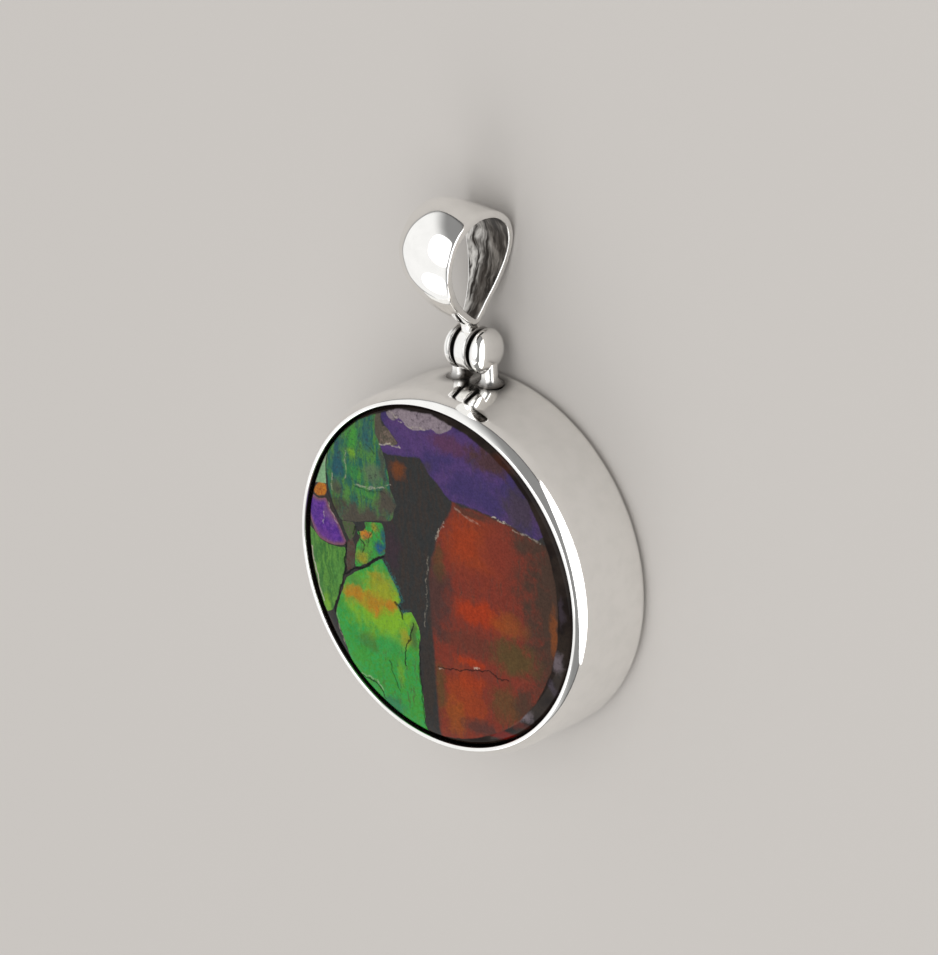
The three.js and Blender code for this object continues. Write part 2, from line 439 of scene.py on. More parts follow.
# %% [markdown]
# ## Turned pieces
# The cup, the stone, the beads, the eye and the pin are all turned shapes: a profile that goes round
# an axis. One Geometry Nodes tree makes them all. It lays out a grid with one column for each step
# round and one row for each point of the profile, and puts every point at its row's radius and height.
# The rows that lie on the axis shrink to a point there and are merged.

# %% The turning tree
MERGED = 0.0005 * MM
TURNING_INPUTS = {"Profile": "Geometry", "Steps Round": "Int", "Rows": "Int", "Finish": "Material"}


def turning_tree():
    tree = bpy.data.node_groups.new("Turned piece", "GeometryNodeTree")
    for name, kind in TURNING_INPUTS.items():
        tree.interface.new_socket(name, in_out="INPUT", socket_type="NodeSocket" + kind)
    tree.interface.new_socket("Piece", in_out="OUTPUT", socket_type="NodeSocketGeometry")
    add = partial(add_node, tree)

    def calculate(operation, first, second=0.0):
        return add("ShaderNodeMath", {0: first, 1: second}, operation=operation).outputs[0]

    given = add("NodeGroupInput").outputs
    columns = calculate("ADD", given["Steps Round"], 1)
    grid = add("GeometryNodeMeshGrid", {"Vertices X": columns, "Vertices Y": given["Rows"]})
    index = add("GeometryNodeInputIndex").outputs[0]
    row = calculate("MODULO", index, given["Rows"])
    column = calculate("FLOOR", calculate("DIVIDE", calculate("ADD", index, 0.5), given["Rows"]))
    turn = calculate("MULTIPLY", calculate("DIVIDE", column, given["Steps Round"]), math.tau)

    position = add("GeometryNodeInputPosition").outputs[0]
    sample = add(
        "GeometryNodeSampleIndex",
        {"Geometry": given["Profile"], "Value": position, "Index": row},
        data_type="FLOAT_VECTOR",
    )
    parts = add("ShaderNodeSeparateXYZ", {0: sample.outputs[0]}).outputs
    x = calculate("MULTIPLY", parts["X"], calculate("COSINE", turn))
    y = calculate("MULTIPLY", parts["X"], calculate("SINE", turn))
    round_place = add("ShaderNodeCombineXYZ", {0: x, 1: y, 2: parts["Z"]})

    laid_out = {"Geometry": grid.outputs["Mesh"], "Position": round_place.outputs[0]}
    placed = add("GeometryNodeSetPosition", laid_out)
    merged = add("GeometryNodeMergeByDistance", {"Geometry": placed.outputs[0], "Distance": MERGED})
    smooth = add("GeometryNodeSetShadeSmooth", {"Geometry": merged.outputs[0]})
    real = add("GeometryNodeRealizeInstances", {"Geometry": smooth.outputs[0]})
    finished = add("GeometryNodeSetMaterial", {"Geometry": real.outputs[0], "Material": given["Finish"]})
    add("NodeGroupOutput", {"Piece": finished.outputs[0]})
    return tree


turning = turning_tree()
print("the turning tree has", len(turning.nodes), "nodes")

# %% [markdown]
# A profile is a short list of corners and arcs. Long straight runs get extra points, because a smooth
# surface borrows its shading from its neighbours, and a long flat face beside a small rounding would
# look bent.

# %% Arcs and long runs


def arc(radius, height, size, start, end, steps):
    """Points on an arc about (radius, height), from one angle to another in degrees."""
    points = []
    for step in range(steps + 1):
        angle = math.radians(start + (end - start) * step / steps)
        points.append((radius + size * math.cos(angle), height + size * math.sin(angle)))
    return points


def ease(value, low, high):
    """A smooth step from 0 to 1 as value goes from low to high."""
    share = max(0.0, min(1.0, (value - low) / (high - low)))
    return share * share * (3 - 2 * share)


def filled(points, longest):
    """The same line with no stretch longer than longest."""
    full = [points[0]]
    for (r0, h0), (r1, h1) in zip(points, points[1:]):
        parts = max(1, math.ceil(math.hypot(r1 - r0, h1 - h0) / longest))
        full += [(r0 + (r1 - r0) * i / parts, h0 + (h1 - h0) * i / parts) for i in range(1, parts + 1)]
    return full


quarter = [(round(r, 2), round(h, 2)) for r, h in arc(0, 0, 1, 0, 90, 2)]
print("a quarter circle in two steps:", quarter)

# %% [markdown]
# Turning gives a closed skin, but which side of it faces out depends on which way the profile ran.
# The volume tells: it comes out negative when the skin is inside out, and then every face is turned.

# %% Turning a profile
FINE = 0.2


def turn_mesh(name, profile, steps, finish, longest=0.4):
    """A turned mesh about Z from (radius, height) points in millimetres."""
    rows = filled(profile, longest)
    line = bpy.data.meshes.new(name + "_profile")
    line.from_pydata([(r * MM, 0, h * MM) for r, h in rows], [], [])
    carrier = bpy.data.objects.new(name + "_profile", line)
    bpy.context.scene.collection.objects.link(carrier)
    modifier = carrier.modifiers.new("turning", "NODES")
    modifier.node_group = turning
    values = {"Steps Round": steps, "Rows": len(rows), "Finish": finish}
    for item in turning.interface.items_tree:
        if item.in_out == "INPUT" and item.name in values:
            modifier[item.identifier] = values[item.name]
    evaluated = carrier.evaluated_get(bpy.context.evaluated_depsgraph_get())
    mesh = bpy.data.meshes.new_from_object(evaluated)
    bpy.data.objects.remove(carrier)
    bpy.data.meshes.remove(line)
    mesh.name = name
    face_outwards(mesh)
    return mesh


def face_outwards(mesh):
    """Turns all faces round when the closed mesh is inside out."""
    mesh.calc_loop_triangles()
    volume = 0.0
    for triangle in mesh.loop_triangles:
        a, b, c = (mesh.vertices[i].co for i in triangle.vertices)
        volume += a.dot(b.cross(c))
    if volume < 0:
        mesh.flip_normals()


print("a turned mesh has its profile's points times its steps round")

# %% [markdown]
# A finished piece needs two facts besides its mesh: the body that it moves with and the measured solid
# that it stands for. One helper says both, so that neither is forgotten.

# %% A finished piece


def piece(name, mesh, body, replaces):
    made = bpy.data.objects.new(name, mesh)
    bpy.context.scene.collection.objects.link(made)
    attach(made, body)
    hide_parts(replaces)
    print(f"{name}: {len(mesh.polygons)} faces")


# %% [markdown]
# ## The cup
# The cup is drawn from sheet half a millimetre thick. Its wall stands straight on a rounded back edge.
# At the top the setter burnished it in over the stone, so it leans in at up to forty degrees and ends
# in a thin round rim. That leaning band is what catches the panel on the right as a white stripe.

# %% Cup measures
WALL = 0.5
BACK_THICKNESS = 0.7
BACK_ROUNDING = 0.9
BURNISH_RADIUS = 2.2
BURNISH_DEGREES = 40
RIM_ROUNDING = 0.17

burnish_angle = math.radians(BURNISH_DEGREES)
burnish_start = CUP_DEPTH - RIM_ROUNDING - (BURNISH_RADIUS - RIM_ROUNDING) * math.sin(burnish_angle)
rim_middle = CUP_RADIUS - BURNISH_RADIUS + (BURNISH_RADIUS - RIM_ROUNDING) * math.cos(burnish_angle)
lip_inside = rim_middle - RIM_ROUNDING
wall_inside = CUP_RADIUS - WALL
print(f"the lip's opening is {2 * lip_inside:.2f} mm across")

# %% [markdown]
# The profile runs from the middle of the back up the outside wall, over the rim and down the inside, so
# the cup is one closed skin with a real thickness.

# %% Cup profile
CUP_STEPS = 288
LIP_DEPTH = 0.6
LIP_TAPER = 0.07
RIM_START = BURNISH_DEGREES + 8


def cup_profile():
    inside_rounding = BACK_ROUNDING - WALL
    return [
        (0, 0),
        *arc(CUP_RADIUS - BACK_ROUNDING, BACK_ROUNDING, BACK_ROUNDING, -90, 0, 16),
        *arc(CUP_RADIUS - BURNISH_RADIUS, burnish_start, BURNISH_RADIUS, 0, BURNISH_DEGREES, 16),
        *arc(rim_middle, CUP_DEPTH - RIM_ROUNDING, RIM_ROUNDING, RIM_START, 180, 14),
        (lip_inside + LIP_TAPER, CUP_DEPTH - LIP_DEPTH),
        (wall_inside, burnish_start),
        *arc(wall_inside - inside_rounding, BACK_THICKNESS + inside_rounding, inside_rounding, 0, -90, 4),
        (0, BACK_THICKNESS),
    ]


cup_mesh = turn_mesh("cup", cup_profile(), CUP_STEPS, silver)
print("cup:", len(cup_mesh.polygons), "faces")

# %% [markdown]
# ## The hinge
# Two domed beads stand on short posts that are soldered to the cup, and a pin joins them. The bail's
# eye turns on the pin between them. The beads and the eye are turned about the pin's line, so their
# profiles give the radius from the pin and the place along it.

# %% Hinge measures
BEAD_RADIUS = 1.6
BEAD_ROUNDING = 0.25
BEAD_INNER_X = 0.85
BEAD_OUTER_X = 1.95
POST_RADIUS = 0.6
POST_X = 1.3
FILLET = 0.42
EYE_HALF_WIDTH = 0.55
BORE_CLEARANCE = 0.08
ABOUT_PIN = Matrix.Translation(Vector((0, PIN_Y, PIN_Z)) * MM) @ Matrix.Rotation(math.pi / 2, 4, "Y")
AIR_BESIDE_EYE = BEAD_INNER_X - EYE_HALF_WIDTH
print(f"beads {2 * BEAD_RADIUS} mm high, with {AIR_BESIDE_EYE:.2f} mm of air beside the eye")

# %% [markdown]
# Each bead is a dome with a rounded inner edge and a blind bore for the pin. The solder ran a little way
# up each post, which gives it a flared foot.

# %% Bead and post profiles
DOME_STEPS = 24
BORE_RADIUS = PIN_RADIUS + BORE_CLEARANCE
SOLDER_HEIGHT = 0.5
SOLDER_STEPS = 8


def bead_profile():
    base = BEAD_INNER_X + BEAD_ROUNDING
    dome = BEAD_OUTER_X - base
    depth = PIN_HALF_LENGTH + BORE_CLEARANCE
    points = [(0, depth), (BORE_RADIUS, depth), (BORE_RADIUS, BEAD_INNER_X)]
    points += arc(BEAD_RADIUS - BEAD_ROUNDING, base, BEAD_ROUNDING, -90, 0, 10)
    for step in range(1, DOME_STEPS + 1):
        angle = step / DOME_STEPS * math.pi / 2
        points.append((BEAD_RADIUS * math.cos(angle), base + dome * math.sin(angle)))
    return points


def post_profile(foot, top):
    """A round post that widens at its foot, where the solder ran up it."""
    points = [(0, foot)]
    for step in range(SOLDER_STEPS + 1):
        share = step / SOLDER_STEPS
        points.append((POST_RADIUS + FILLET * (1 - share) ** 2, foot + SOLDER_HEIGHT * share))
    return [*points, (POST_RADIUS, top), (0, top)]


print("the bead's profile has", len(bead_profile()), "points")

# %% [markdown]
# ## Joining, and tarnish with painted shade
# A bead and its post are one casting, so their meshes are united by a Boolean. It mixes up the values
# that are stored on the points, so each point then takes them from its nearest neighbour before the
# union.

# %% Values after a union


def copy_tarnish_and_shade(sources, mesh):
    """Gives every point the values of the nearest point before the union, which loses them."""
    points = [(v.co, source, v.index) for source in sources for v in source.vertices]
    nearest = KDTree(len(points))
    for at, (place, _, _) in enumerate(points):
        nearest.insert(place, at)
    nearest.balance()
    for vertex in mesh.vertices:
        _, at, _ = nearest.find(vertex.co)
        _, source, index = points[at]
        for name, field in (("recess", "value"), ("flow", "vector")):
            stored = source.attributes[name].data[index]
            setattr(mesh.attributes[name].data[vertex.index], field, getattr(stored, field))


print("recess and flow are carried over by the nearest point")

# %% [markdown]
# The union keeps the edge between two parts sharp where they meet at a steep angle, and smooth where
# solder would have filled it.

# %% Joining meshes
SHARP_DEGREES = 38


def joined(name, meshes):
    """One mesh from several closed ones, united where they overlap."""
    objects = [bpy.data.objects.new(f"{name}_{i}", mesh) for i, mesh in enumerate(meshes)]
    for each in objects:
        bpy.context.scene.collection.objects.link(each)
    whole = objects[0]
    for other in objects[1:]:
        union = whole.modifiers.new("union", "BOOLEAN")
        union.operation = "UNION"
        union.solver = "EXACT"
        union.object = other
    evaluated = whole.evaluated_get(bpy.context.evaluated_depsgraph_get())
    mesh = bpy.data.meshes.new_from_object(evaluated)
    mesh.name = name
    for each in objects:
        bpy.data.objects.remove(each)
    copy_tarnish_and_shade(meshes, mesh)
    mesh.set_sharp_from_angle(angle=math.radians(SHARP_DEGREES))
    return mesh


print("pieces are joined with edges sharp from", SHARP_DEGREES, "degrees")

# %% [markdown]
# Every silver mesh stores two values on its points. recess says how dark a point is painted: tarnish,
# because old silver stays dark wherever no cloth reaches, and round the hinge also painted shade where
# the parts shade each other. flow says which way the sheet was brushed, and it stays at zero on the
# pieces that were polished all over.

# %% Tarnish and painted shade
BEAD_TARNISH_AND_SHADE = 0.85
INNER_TARNISH_AND_SHADE_DEPTH = 0.3
FOOT_TARNISH_AND_SHADE_HEIGHT = 0.6


def store(mesh, name, values):
    """Keeps one value for each point of the mesh, where a shader can read it."""
    mesh.attributes.new(name, "FLOAT", "POINT").data.foreach_set("value", values)


def store_tarnish_and_shade(mesh, amount):
    """Stores how much tarnish and painted shade each point gets, from a rule on its place in millimetres.
    """
    store(mesh, "recess", [amount(vertex.co / MM) for vertex in mesh.vertices])
    mesh.attributes.new("flow", "FLOAT_VECTOR", "POINT")


def bead_tarnish_and_shade(place):
    """Painted shade and tarnish: dark on the inner face beside the eye and where the post meets the cup.
    """
    inner = 1 - (abs(place.x) - BEAD_INNER_X) / INNER_TARNISH_AND_SHADE_DEPTH
    foot = 1 - (place.y - CUP_RADIUS) / FOOT_TARNISH_AND_SHADE_HEIGHT
    return max(0.0, min(1.0, max(inner, foot) * BEAD_TARNISH_AND_SHADE))


print(f"tarnish at a post's foot: {bead_tarnish_and_shade(Vector((POST_X, CUP_RADIUS, PIN_Z))):.2f}")

# %% [markdown]
# Both beads are alike, so the right one is made and the left one is its mirror image. A mirror turns a
# skin inside out, so its faces are turned back.

# %% Beads
POST_SINKS = 0.12
BEAD_STEPS = 96
POST_STEPS = 48


def bead_mesh(side):
    """The right-hand bead on its post, or its mirror image when side is -1."""
    bead = turn_mesh("bead", bead_profile(), BEAD_STEPS, silver, longest=FINE)
    bead.transform(ABOUT_PIN)
    foot = CUP_RADIUS - POST_SINKS - PIN_Y
    post = turn_mesh("post", post_profile(foot, -BEAD_RADIUS / 2), POST_STEPS, silver, longest=FINE)
    along_y = Matrix.Rotation(-math.pi / 2, 4, "X")
    post.transform(Matrix.Translation(Vector((POST_X, PIN_Y, PIN_Z)) * MM) @ along_y)
    store_tarnish_and_shade(bead, bead_tarnish_and_shade)
    store_tarnish_and_shade(post, bead_tarnish_and_shade)
    mesh = joined("hinge_bead", [bead, post])
    if side < 0:
        mesh.transform(Matrix.Scale(-1, 4, (1, 0, 0)))
        mesh.flip_normals()
    return mesh


for side, name in ((-1, "hinge_bead_left"), (1, "hinge_bead_right")):
    piece(name.replace("hinge_", ""), bead_mesh(side), "pendant", name)

# %% [markdown]
# The cup was soldered to the posts before it was polished, and the wheel can't reach in between them.
# So the wall keeps tarnish round both feet, and it is also painted dark there for the shade of the posts;
# the darkening clears within two millimetres of them.

# %% Tarnish and painted shade on the cup's wall
WALL_TARNISH_AND_SHADE = 0.9
TARNISH_AND_SHADE_EDGE = (0.8, 1.9)


def wall_tarnish_and_shade(place):
    """Painted shade and tarnish: dark round the solder at both posts."""
    reach = min((place - Vector((side * POST_X, CUP_RADIUS, PIN_Z))).length for side in (-1, 1))
    return WALL_TARNISH_AND_SHADE * (1 - ease(reach, *TARNISH_AND_SHADE_EDGE))


store_tarnish_and_shade(cup_mesh, wall_tarnish_and_shade)
piece("cup", cup_mesh, "pendant", "silver_cup")

# %% [markdown]
# The pin is a bit of drawn wire. Only the short length between the beads and the eye can be seen, and
# it is dark there, so its ends need no more than a small chamfer.

# %% Pin
PIN_CHAMFER = 0.06
PIN_TARNISH_AND_SHADE = 0.8
half_pin = [
    (PIN_RADIUS, PIN_HALF_LENGTH - PIN_CHAMFER),
    (PIN_RADIUS - PIN_CHAMFER, PIN_HALF_LENGTH),
    (0, PIN_HALF_LENGTH),
]
pin_profile = [(radius, -along) for radius, along in reversed(half_pin)] + half_pin
pin_mesh = turn_mesh("pin", pin_profile, POST_STEPS, silver, longest=FINE)
pin_mesh.transform(ABOUT_PIN)
# The whole pin is painted dark: partly tarnish, partly painted shade between the beads and the eye.
store_tarnish_and_shade(pin_mesh, lambda place: PIN_TARNISH_AND_SHADE)
piece("pin", pin_mesh, "pendant", "hinge_pin")

# %% [markdown]
# ## The bail
# The bail is a long leaf of sheet silver, domed by the dapping block, folded over and soldered at its
# ends. Its opening is a smooth closed curve through a few measured points. At each station along that
# curve a section is drawn: a domed outside, a shallower dome inside, and four rounded corners.

# %% Bail measures
OPENING = [
    (2.4, 0.0),
    (2.62, 0.3),
    (3.35, 0.95),
    (4.5, 1.83),
    (5.9, 2.55),
    (7.3, 2.9),
    (8.6, 2.66),
    (9.65, 1.7),
    (10.15, 0.0),
]
WIDTHS = [(2.4, 0.72), (3.35, 0.92), (4.5, 1.27), (5.9, 1.72), (7.3, 2.08), (8.6, 2.33), (10.2, 2.45)]
BAIL_EDGE = 0.48
BAIL_SHELL = 0.55
CROWN_FRONT = 1.0
CROWN_BACK = 0.15
CROWN_EDGE = (-2.0, 1.0)
STATIONS = 320
ACROSS = 26
print(f"the bail's opening is {OPENING[-1][0] - OPENING[0][0]:.2f} mm high")

# %% [markdown]
# The curve must pass through the measured points without overshooting at the tight fold, which is what
# a centripetal Catmull-Rom curve does. It is drawn with many more points than are needed.

# %% A smooth closed curve
PIECES_BETWEEN = 60


def dense_loop(points):
    """Many points on the closed centripetal Catmull-Rom curve through points."""
    dense = []
    total = len(points)
    for i in range(total):
        p0, p1, p2, p3 = (points[(i + k - 1) % total] for k in range(4))
        t1 = (p1 - p0).length ** 0.5
        t2 = t1 + (p2 - p1).length ** 0.5
        t3 = t2 + (p3 - p2).length ** 0.5
        for step in range(PIECES_BETWEEN):
            t = t1 + (t2 - t1) * step / PIECES_BETWEEN
            a1 = p0 * ((t1 - t) / t1) + p1 * (t / t1)
            a2 = p1 * ((t2 - t) / (t2 - t1)) + p2 * ((t - t1) / (t2 - t1))
            a3 = p2 * ((t3 - t) / (t3 - t2)) + p3 * ((t - t2) / (t3 - t2))
            b1 = a1 * ((t2 - t) / t2) + a2 * (t / t2)
            b2 = a2 * ((t3 - t) / (t3 - t1)) + a3 * ((t - t1) / (t3 - t1))
            dense.append(b1 * ((t2 - t) / (t2 - t1)) + b2 * ((t - t1) / (t2 - t1)))
    return [*dense, dense[0]]


print(PIECES_BETWEEN, "points are drawn between two measured ones")

# %% [markdown]
# Stations are picked from that line at even distances, so the band's faces are all about as long. The
# band's width at each station comes from a short table.

# %% Stations and widths


def even_stations(dense, count):
    """Points at even distances along a closed line, and the line's length."""
    lengths = [0.0]
    for a, b in zip(dense, dense[1:]):
        lengths.append(lengths[-1] + (b - a).length)
    even, at = [], 0
    for i in range(count):
        wanted = lengths[-1] * i / count
        while lengths[at + 1] < wanted:
            at += 1
        share = (wanted - lengths[at]) / (lengths[at + 1] - lengths[at])
        even.append(dense[at].lerp(dense[at + 1], share))
    return even, lengths[-1]


def between(table, at):
    """The value at a place in a table of (place, value) rows."""
    for (a, low), (b, high) in zip(table, table[1:]):
        if at <= b:
            return low + (high - low) * max(0.0, (at - a) / (b - a))
    return table[-1][1]


print("widths at 5 and 9 mm up:", round(between(WIDTHS, 5), 2), round(between(WIDTHS, 9), 2))

# %% [markdown]
# A section starts at the left edge, crosses the domed outside, rounds two corners, crosses the hollow
# inside and rounds two more. The points of the inside are counted, because only they keep tarnish.

# %% One section of the bail
OUTER_ROUND = 0.17
INNER_ROUND = 0.1


def corner(before, tip, after, steps=6):
    """A rounded corner: a curve from before to after that is pulled towards tip."""
    points = []
    for step in range(1, steps):
        t = step / steps
        points.append(before * (1 - t) ** 2 + tip * 2 * t * (1 - t) + after * t ** 2)
    return points


def bail_section(half_width, crown):
    """(across, outward) points round the sheet, and the range of those that lie inside."""
    def outside(x):
        return Vector((x, BAIL_EDGE + crown * (1 - (x / half_width) ** 2)))

    def inside(x):
        return Vector((x, BAIL_SHELL * crown * (1 - (x / half_width) ** 2)))

    reach = half_width - OUTER_ROUND
    right = [outside(-reach + 2 * reach * i / ACROSS) for i in range(ACROSS + 1)]
    right += corner(right[-1], outside(half_width), Vector((half_width, BAIL_EDGE - OUTER_ROUND)))
    right.append(Vector((half_width, BAIL_EDGE - OUTER_ROUND)))
    right.append(Vector((half_width, INNER_ROUND)))
    reach = half_width - INNER_ROUND
    right += corner(right[-1], inside(half_width), inside(reach))
    clean = len(right)
    right += [inside(reach - 2 * reach * i / ACROSS) for i in range(ACROSS + 1)]
    back_at = len(right)
    right += corner(right[-1], inside(-half_width), Vector((-half_width, INNER_ROUND)))
    right.append(Vector((-half_width, INNER_ROUND)))
    right.append(Vector((-half_width, BAIL_EDGE - OUTER_ROUND)))
    right += corner(right[-1], outside(-half_width), outside(-half_width + OUTER_ROUND))
    return right, range(clean, back_at)


print("points in a section:", len(bail_section(2.4, 1.0)[0]))

# %% [markdown]
# The band and the neck are both made of rings of points, one after another. The band's last ring joins
# its first, and the neck's two ends get caps.

# %% A mesh through rings of points


def ring_mesh(name, rings, closed):
    """A smooth silver mesh through rings; a closed one joins its ends, an open one gets caps."""
    count, size = len(rings), len(rings[0])
    faces = []
    for i in range(count if closed else count - 1):
        here, after = i * size, (i + 1) % count * size
        for j in range(size):
            beside = (j + 1) % size
            faces.append((here + j, here + beside, after + beside, after + j))
    if not closed:
        faces.append(tuple(range(size)))
        faces.append(tuple(reversed(range((count - 1) * size, count * size))))
    mesh = bpy.data.meshes.new(name)
    mesh.from_pydata([point * MM for ring in rings for point in ring], [], faces)
    mesh.polygons.foreach_set("use_smooth", [True] * len(faces))
    mesh.materials.append(silver)
    face_outwards(mesh)
    print(f"{name}: {count} rings of {size} points")
    return mesh


print("the band is a closed run of rings, and the neck an open one")

# %% [markdown]
# At each station the section is set square to the curve. It is narrow at the foot and wide over the
# top, and its dome is full in front and nearly flat behind, where the bail lies against the neck.

# %% The band


def bail_band():
    front = [Vector((0, up, out)) for up, out in OPENING]
    back = [Vector((0, up, -out)) for up, out in OPENING[-2:0:-1]]
    places, length = even_stations(dense_loop(front + back), STATIONS)
    rings, recess, flow = [], [], []
    for i, at in enumerate(places):
        along = (places[(i + 1) % STATIONS] - places[i - 1]).normalized()
        outward = Vector((0, -along.z, along.y))
        half_width = between(WIDTHS, at.y)
        crown = CROWN_BACK + (CROWN_FRONT - CROWN_BACK) * ease(at.z, *CROWN_EDGE)
        crown *= (half_width / WIDTHS[-1][1]) ** 2
        section, dark = bail_section(half_width, crown)
        rings.append([Vector((x, at.y + outward.y * off, at.z + outward.z * off)) for x, off in section])
        recess += [1.0 if j in dark else 0.0 for j in range(len(section))]
        for x, _ in section:
            flow += [x, length * i / STATIONS, 0]
    mesh = ring_mesh("bail_band", rings, closed=True)
    store(mesh, "recess", recess)
    mesh.attributes.new("flow", "FLOAT_VECTOR", "POINT").data.foreach_set("vector", flow)
    return mesh


band_mesh = bail_band()

# %% [markdown]
# The band's foot stands on a short neck, and the neck on the eye. The eye is a turned ring, painted dark
# on the two faces that run beside the beads: tarnish, and painted shade where the beads stand close.

# %% Eye
EYE_TARNISH_AND_SHADE = 0.9


def eye_mesh():
    flat = EYE_HALF_WIDTH - BEAD_ROUNDING
    rim = BEAD_RADIUS - BEAD_ROUNDING
    ring = [
        (BORE_RADIUS, -EYE_HALF_WIDTH),
        *arc(rim, -flat, BEAD_ROUNDING, -90, 0, 10),
        *arc(rim, flat, BEAD_ROUNDING, 0, 90, 10),
        (BORE_RADIUS, EYE_HALF_WIDTH),
        (BORE_RADIUS, -EYE_HALF_WIDTH),
    ]
    mesh = turn_mesh("eye", ring, BEAD_STEPS, silver, longest=FINE)
    mesh.transform(Matrix.Rotation(math.pi / 2, 4, "Y"))
    store_tarnish_and_shade(mesh, lambda place: EYE_TARNISH_AND_SHADE * max(0.0, min(1.0, (abs(place.x) - flat) / BEAD_ROUNDING)))
    return mesh


print(f"the eye is {2 * EYE_HALF_WIDTH:.1f} mm wide, with a bore of {2 * BORE_RADIUS:.2f} mm")

# %% [markdown]
# The neck is a post with rounded corners and a slight waist. A circle becomes such a rounded square when
# its sine and cosine are pushed outwards.

# %% Neck
NECK_HALF_WIDTH = 0.52
NECK_HALF_DEPTH = 0.66
NECK_FOOT = 1.15
NECK_TOP = 2.3
NECK_WAIST = 0.12
NECK_STEPS = 12
NECK_CORNERS = 32


def swollen(value):
    """Pushes a sine or cosine outwards, which turns a circle into a rounded square."""
    return math.copysign(abs(value) ** 0.5, value)


def neck_mesh():
    rings = []
    for step in range(NECK_STEPS + 1):
        share = step / NECK_STEPS
        y = NECK_FOOT + (NECK_TOP - NECK_FOOT) * share
        waist = 1 - NECK_WAIST * math.sin(math.pi * share)
        ring = []
        for turn in range(NECK_CORNERS):
            angle = math.tau * turn / NECK_CORNERS
            x = swollen(math.cos(angle)) * NECK_HALF_WIDTH * waist
            z = swollen(math.sin(angle)) * NECK_HALF_DEPTH * waist
            ring.append(Vector((x, y, z)))
        rings.append(ring)
    mesh = ring_mesh("neck", rings, closed=False)
    store_tarnish_and_shade(mesh, lambda place: 0.0)
    return mesh


print("the neck is", 2 * NECK_HALF_WIDTH, "by", 2 * NECK_HALF_DEPTH, "mm")

# %% [markdown]
# Band, neck and eye are united into one piece. On a table the bail can't stand straight out, so it is
# leaned about the pin until its lowest point just lies on the surface.

# %% The whole bail


def resting_lean(mesh):
    """The lean about the pin at which the lowest point just lies on the table."""
    lean = -math.inf
    for vertex in mesh.vertices:
        y, z = vertex.co.y / MM, vertex.co.z / MM
        reach = math.hypot(y, z)
        if reach > PIN_Z:
            lean = max(lean, math.atan2(-z, y) - math.asin(PIN_Z / reach))
    return lean


bail_mesh = joined("bail_silver", [band_mesh, neck_mesh(), eye_mesh()])
lean = resting_lean(bail_mesh)
bail_mesh.transform(Matrix.Translation(Vector((0, PIN_Y, PIN_Z)) * MM) @ Matrix.Rotation(lean, 4, "X"))
piece("bail_silver", bail_mesh, "bail", "bail")
print(f"the bail leans {math.degrees(lean):.2f} degrees")

# %% [markdown]
# ## The stone
# Ammolite is thin shell over dark shale, ground to a round with a very low crown and polished. It sits
# deep in the cup, so most of its height is hidden, and only the crown and its rounded edge are seen. It
# is one more turned shape, fitted to the lip.

# %% Stone shape
stone_low, stone_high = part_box("ammolite_stone")
STONE_BASE = stone_low.z / MM
STONE_TOP = stone_high.z / MM
STONE_RADIUS = stone_high.x / MM
# How far in from the lip, and how far under its top, the stone's rounded edge passes.
EDGE_DROP = [(0.1, 0.6), (0.15, 0.42), (0.24, 0.27), (0.40, 0.15), (0.65, 0.06), (0.95, -0.02)]
# How far in from the lip, and how far under the stone's own top, its crown passes.
CROWN_DROP = [(1.3, 0.27), (1.9, 0.215), (2.7, 0.17), (4.2, 0.11), (6.0, 0.06), (9.0, 0.015)]


def stone_profile():
    chamfer = BACK_ROUNDING - WALL
    return [
        (0, STONE_BASE),
        (STONE_RADIUS - chamfer, STONE_BASE),
        (STONE_RADIUS, STONE_BASE + chamfer),
        (STONE_RADIUS, burnish_start),
        *((lip_inside - inwards, CUP_DEPTH - drop) for inwards, drop in EDGE_DROP),
        *((lip_inside - inwards, STONE_TOP - drop) for inwards, drop in CROWN_DROP),
        (0, STONE_TOP),
    ]


print("the stone's profile has", len(stone_profile()), "points")

# %% [markdown]
# The shell broke into plates long ago, and each plate shows its own colour. Every plate's outline is
# drawn here as a few corners on the face, in millimetres from its middle. Each point of the mesh stores
# how far inside each outline it lies, so the shader can place a crisp, slightly ragged edge wherever
# that distance is zero.

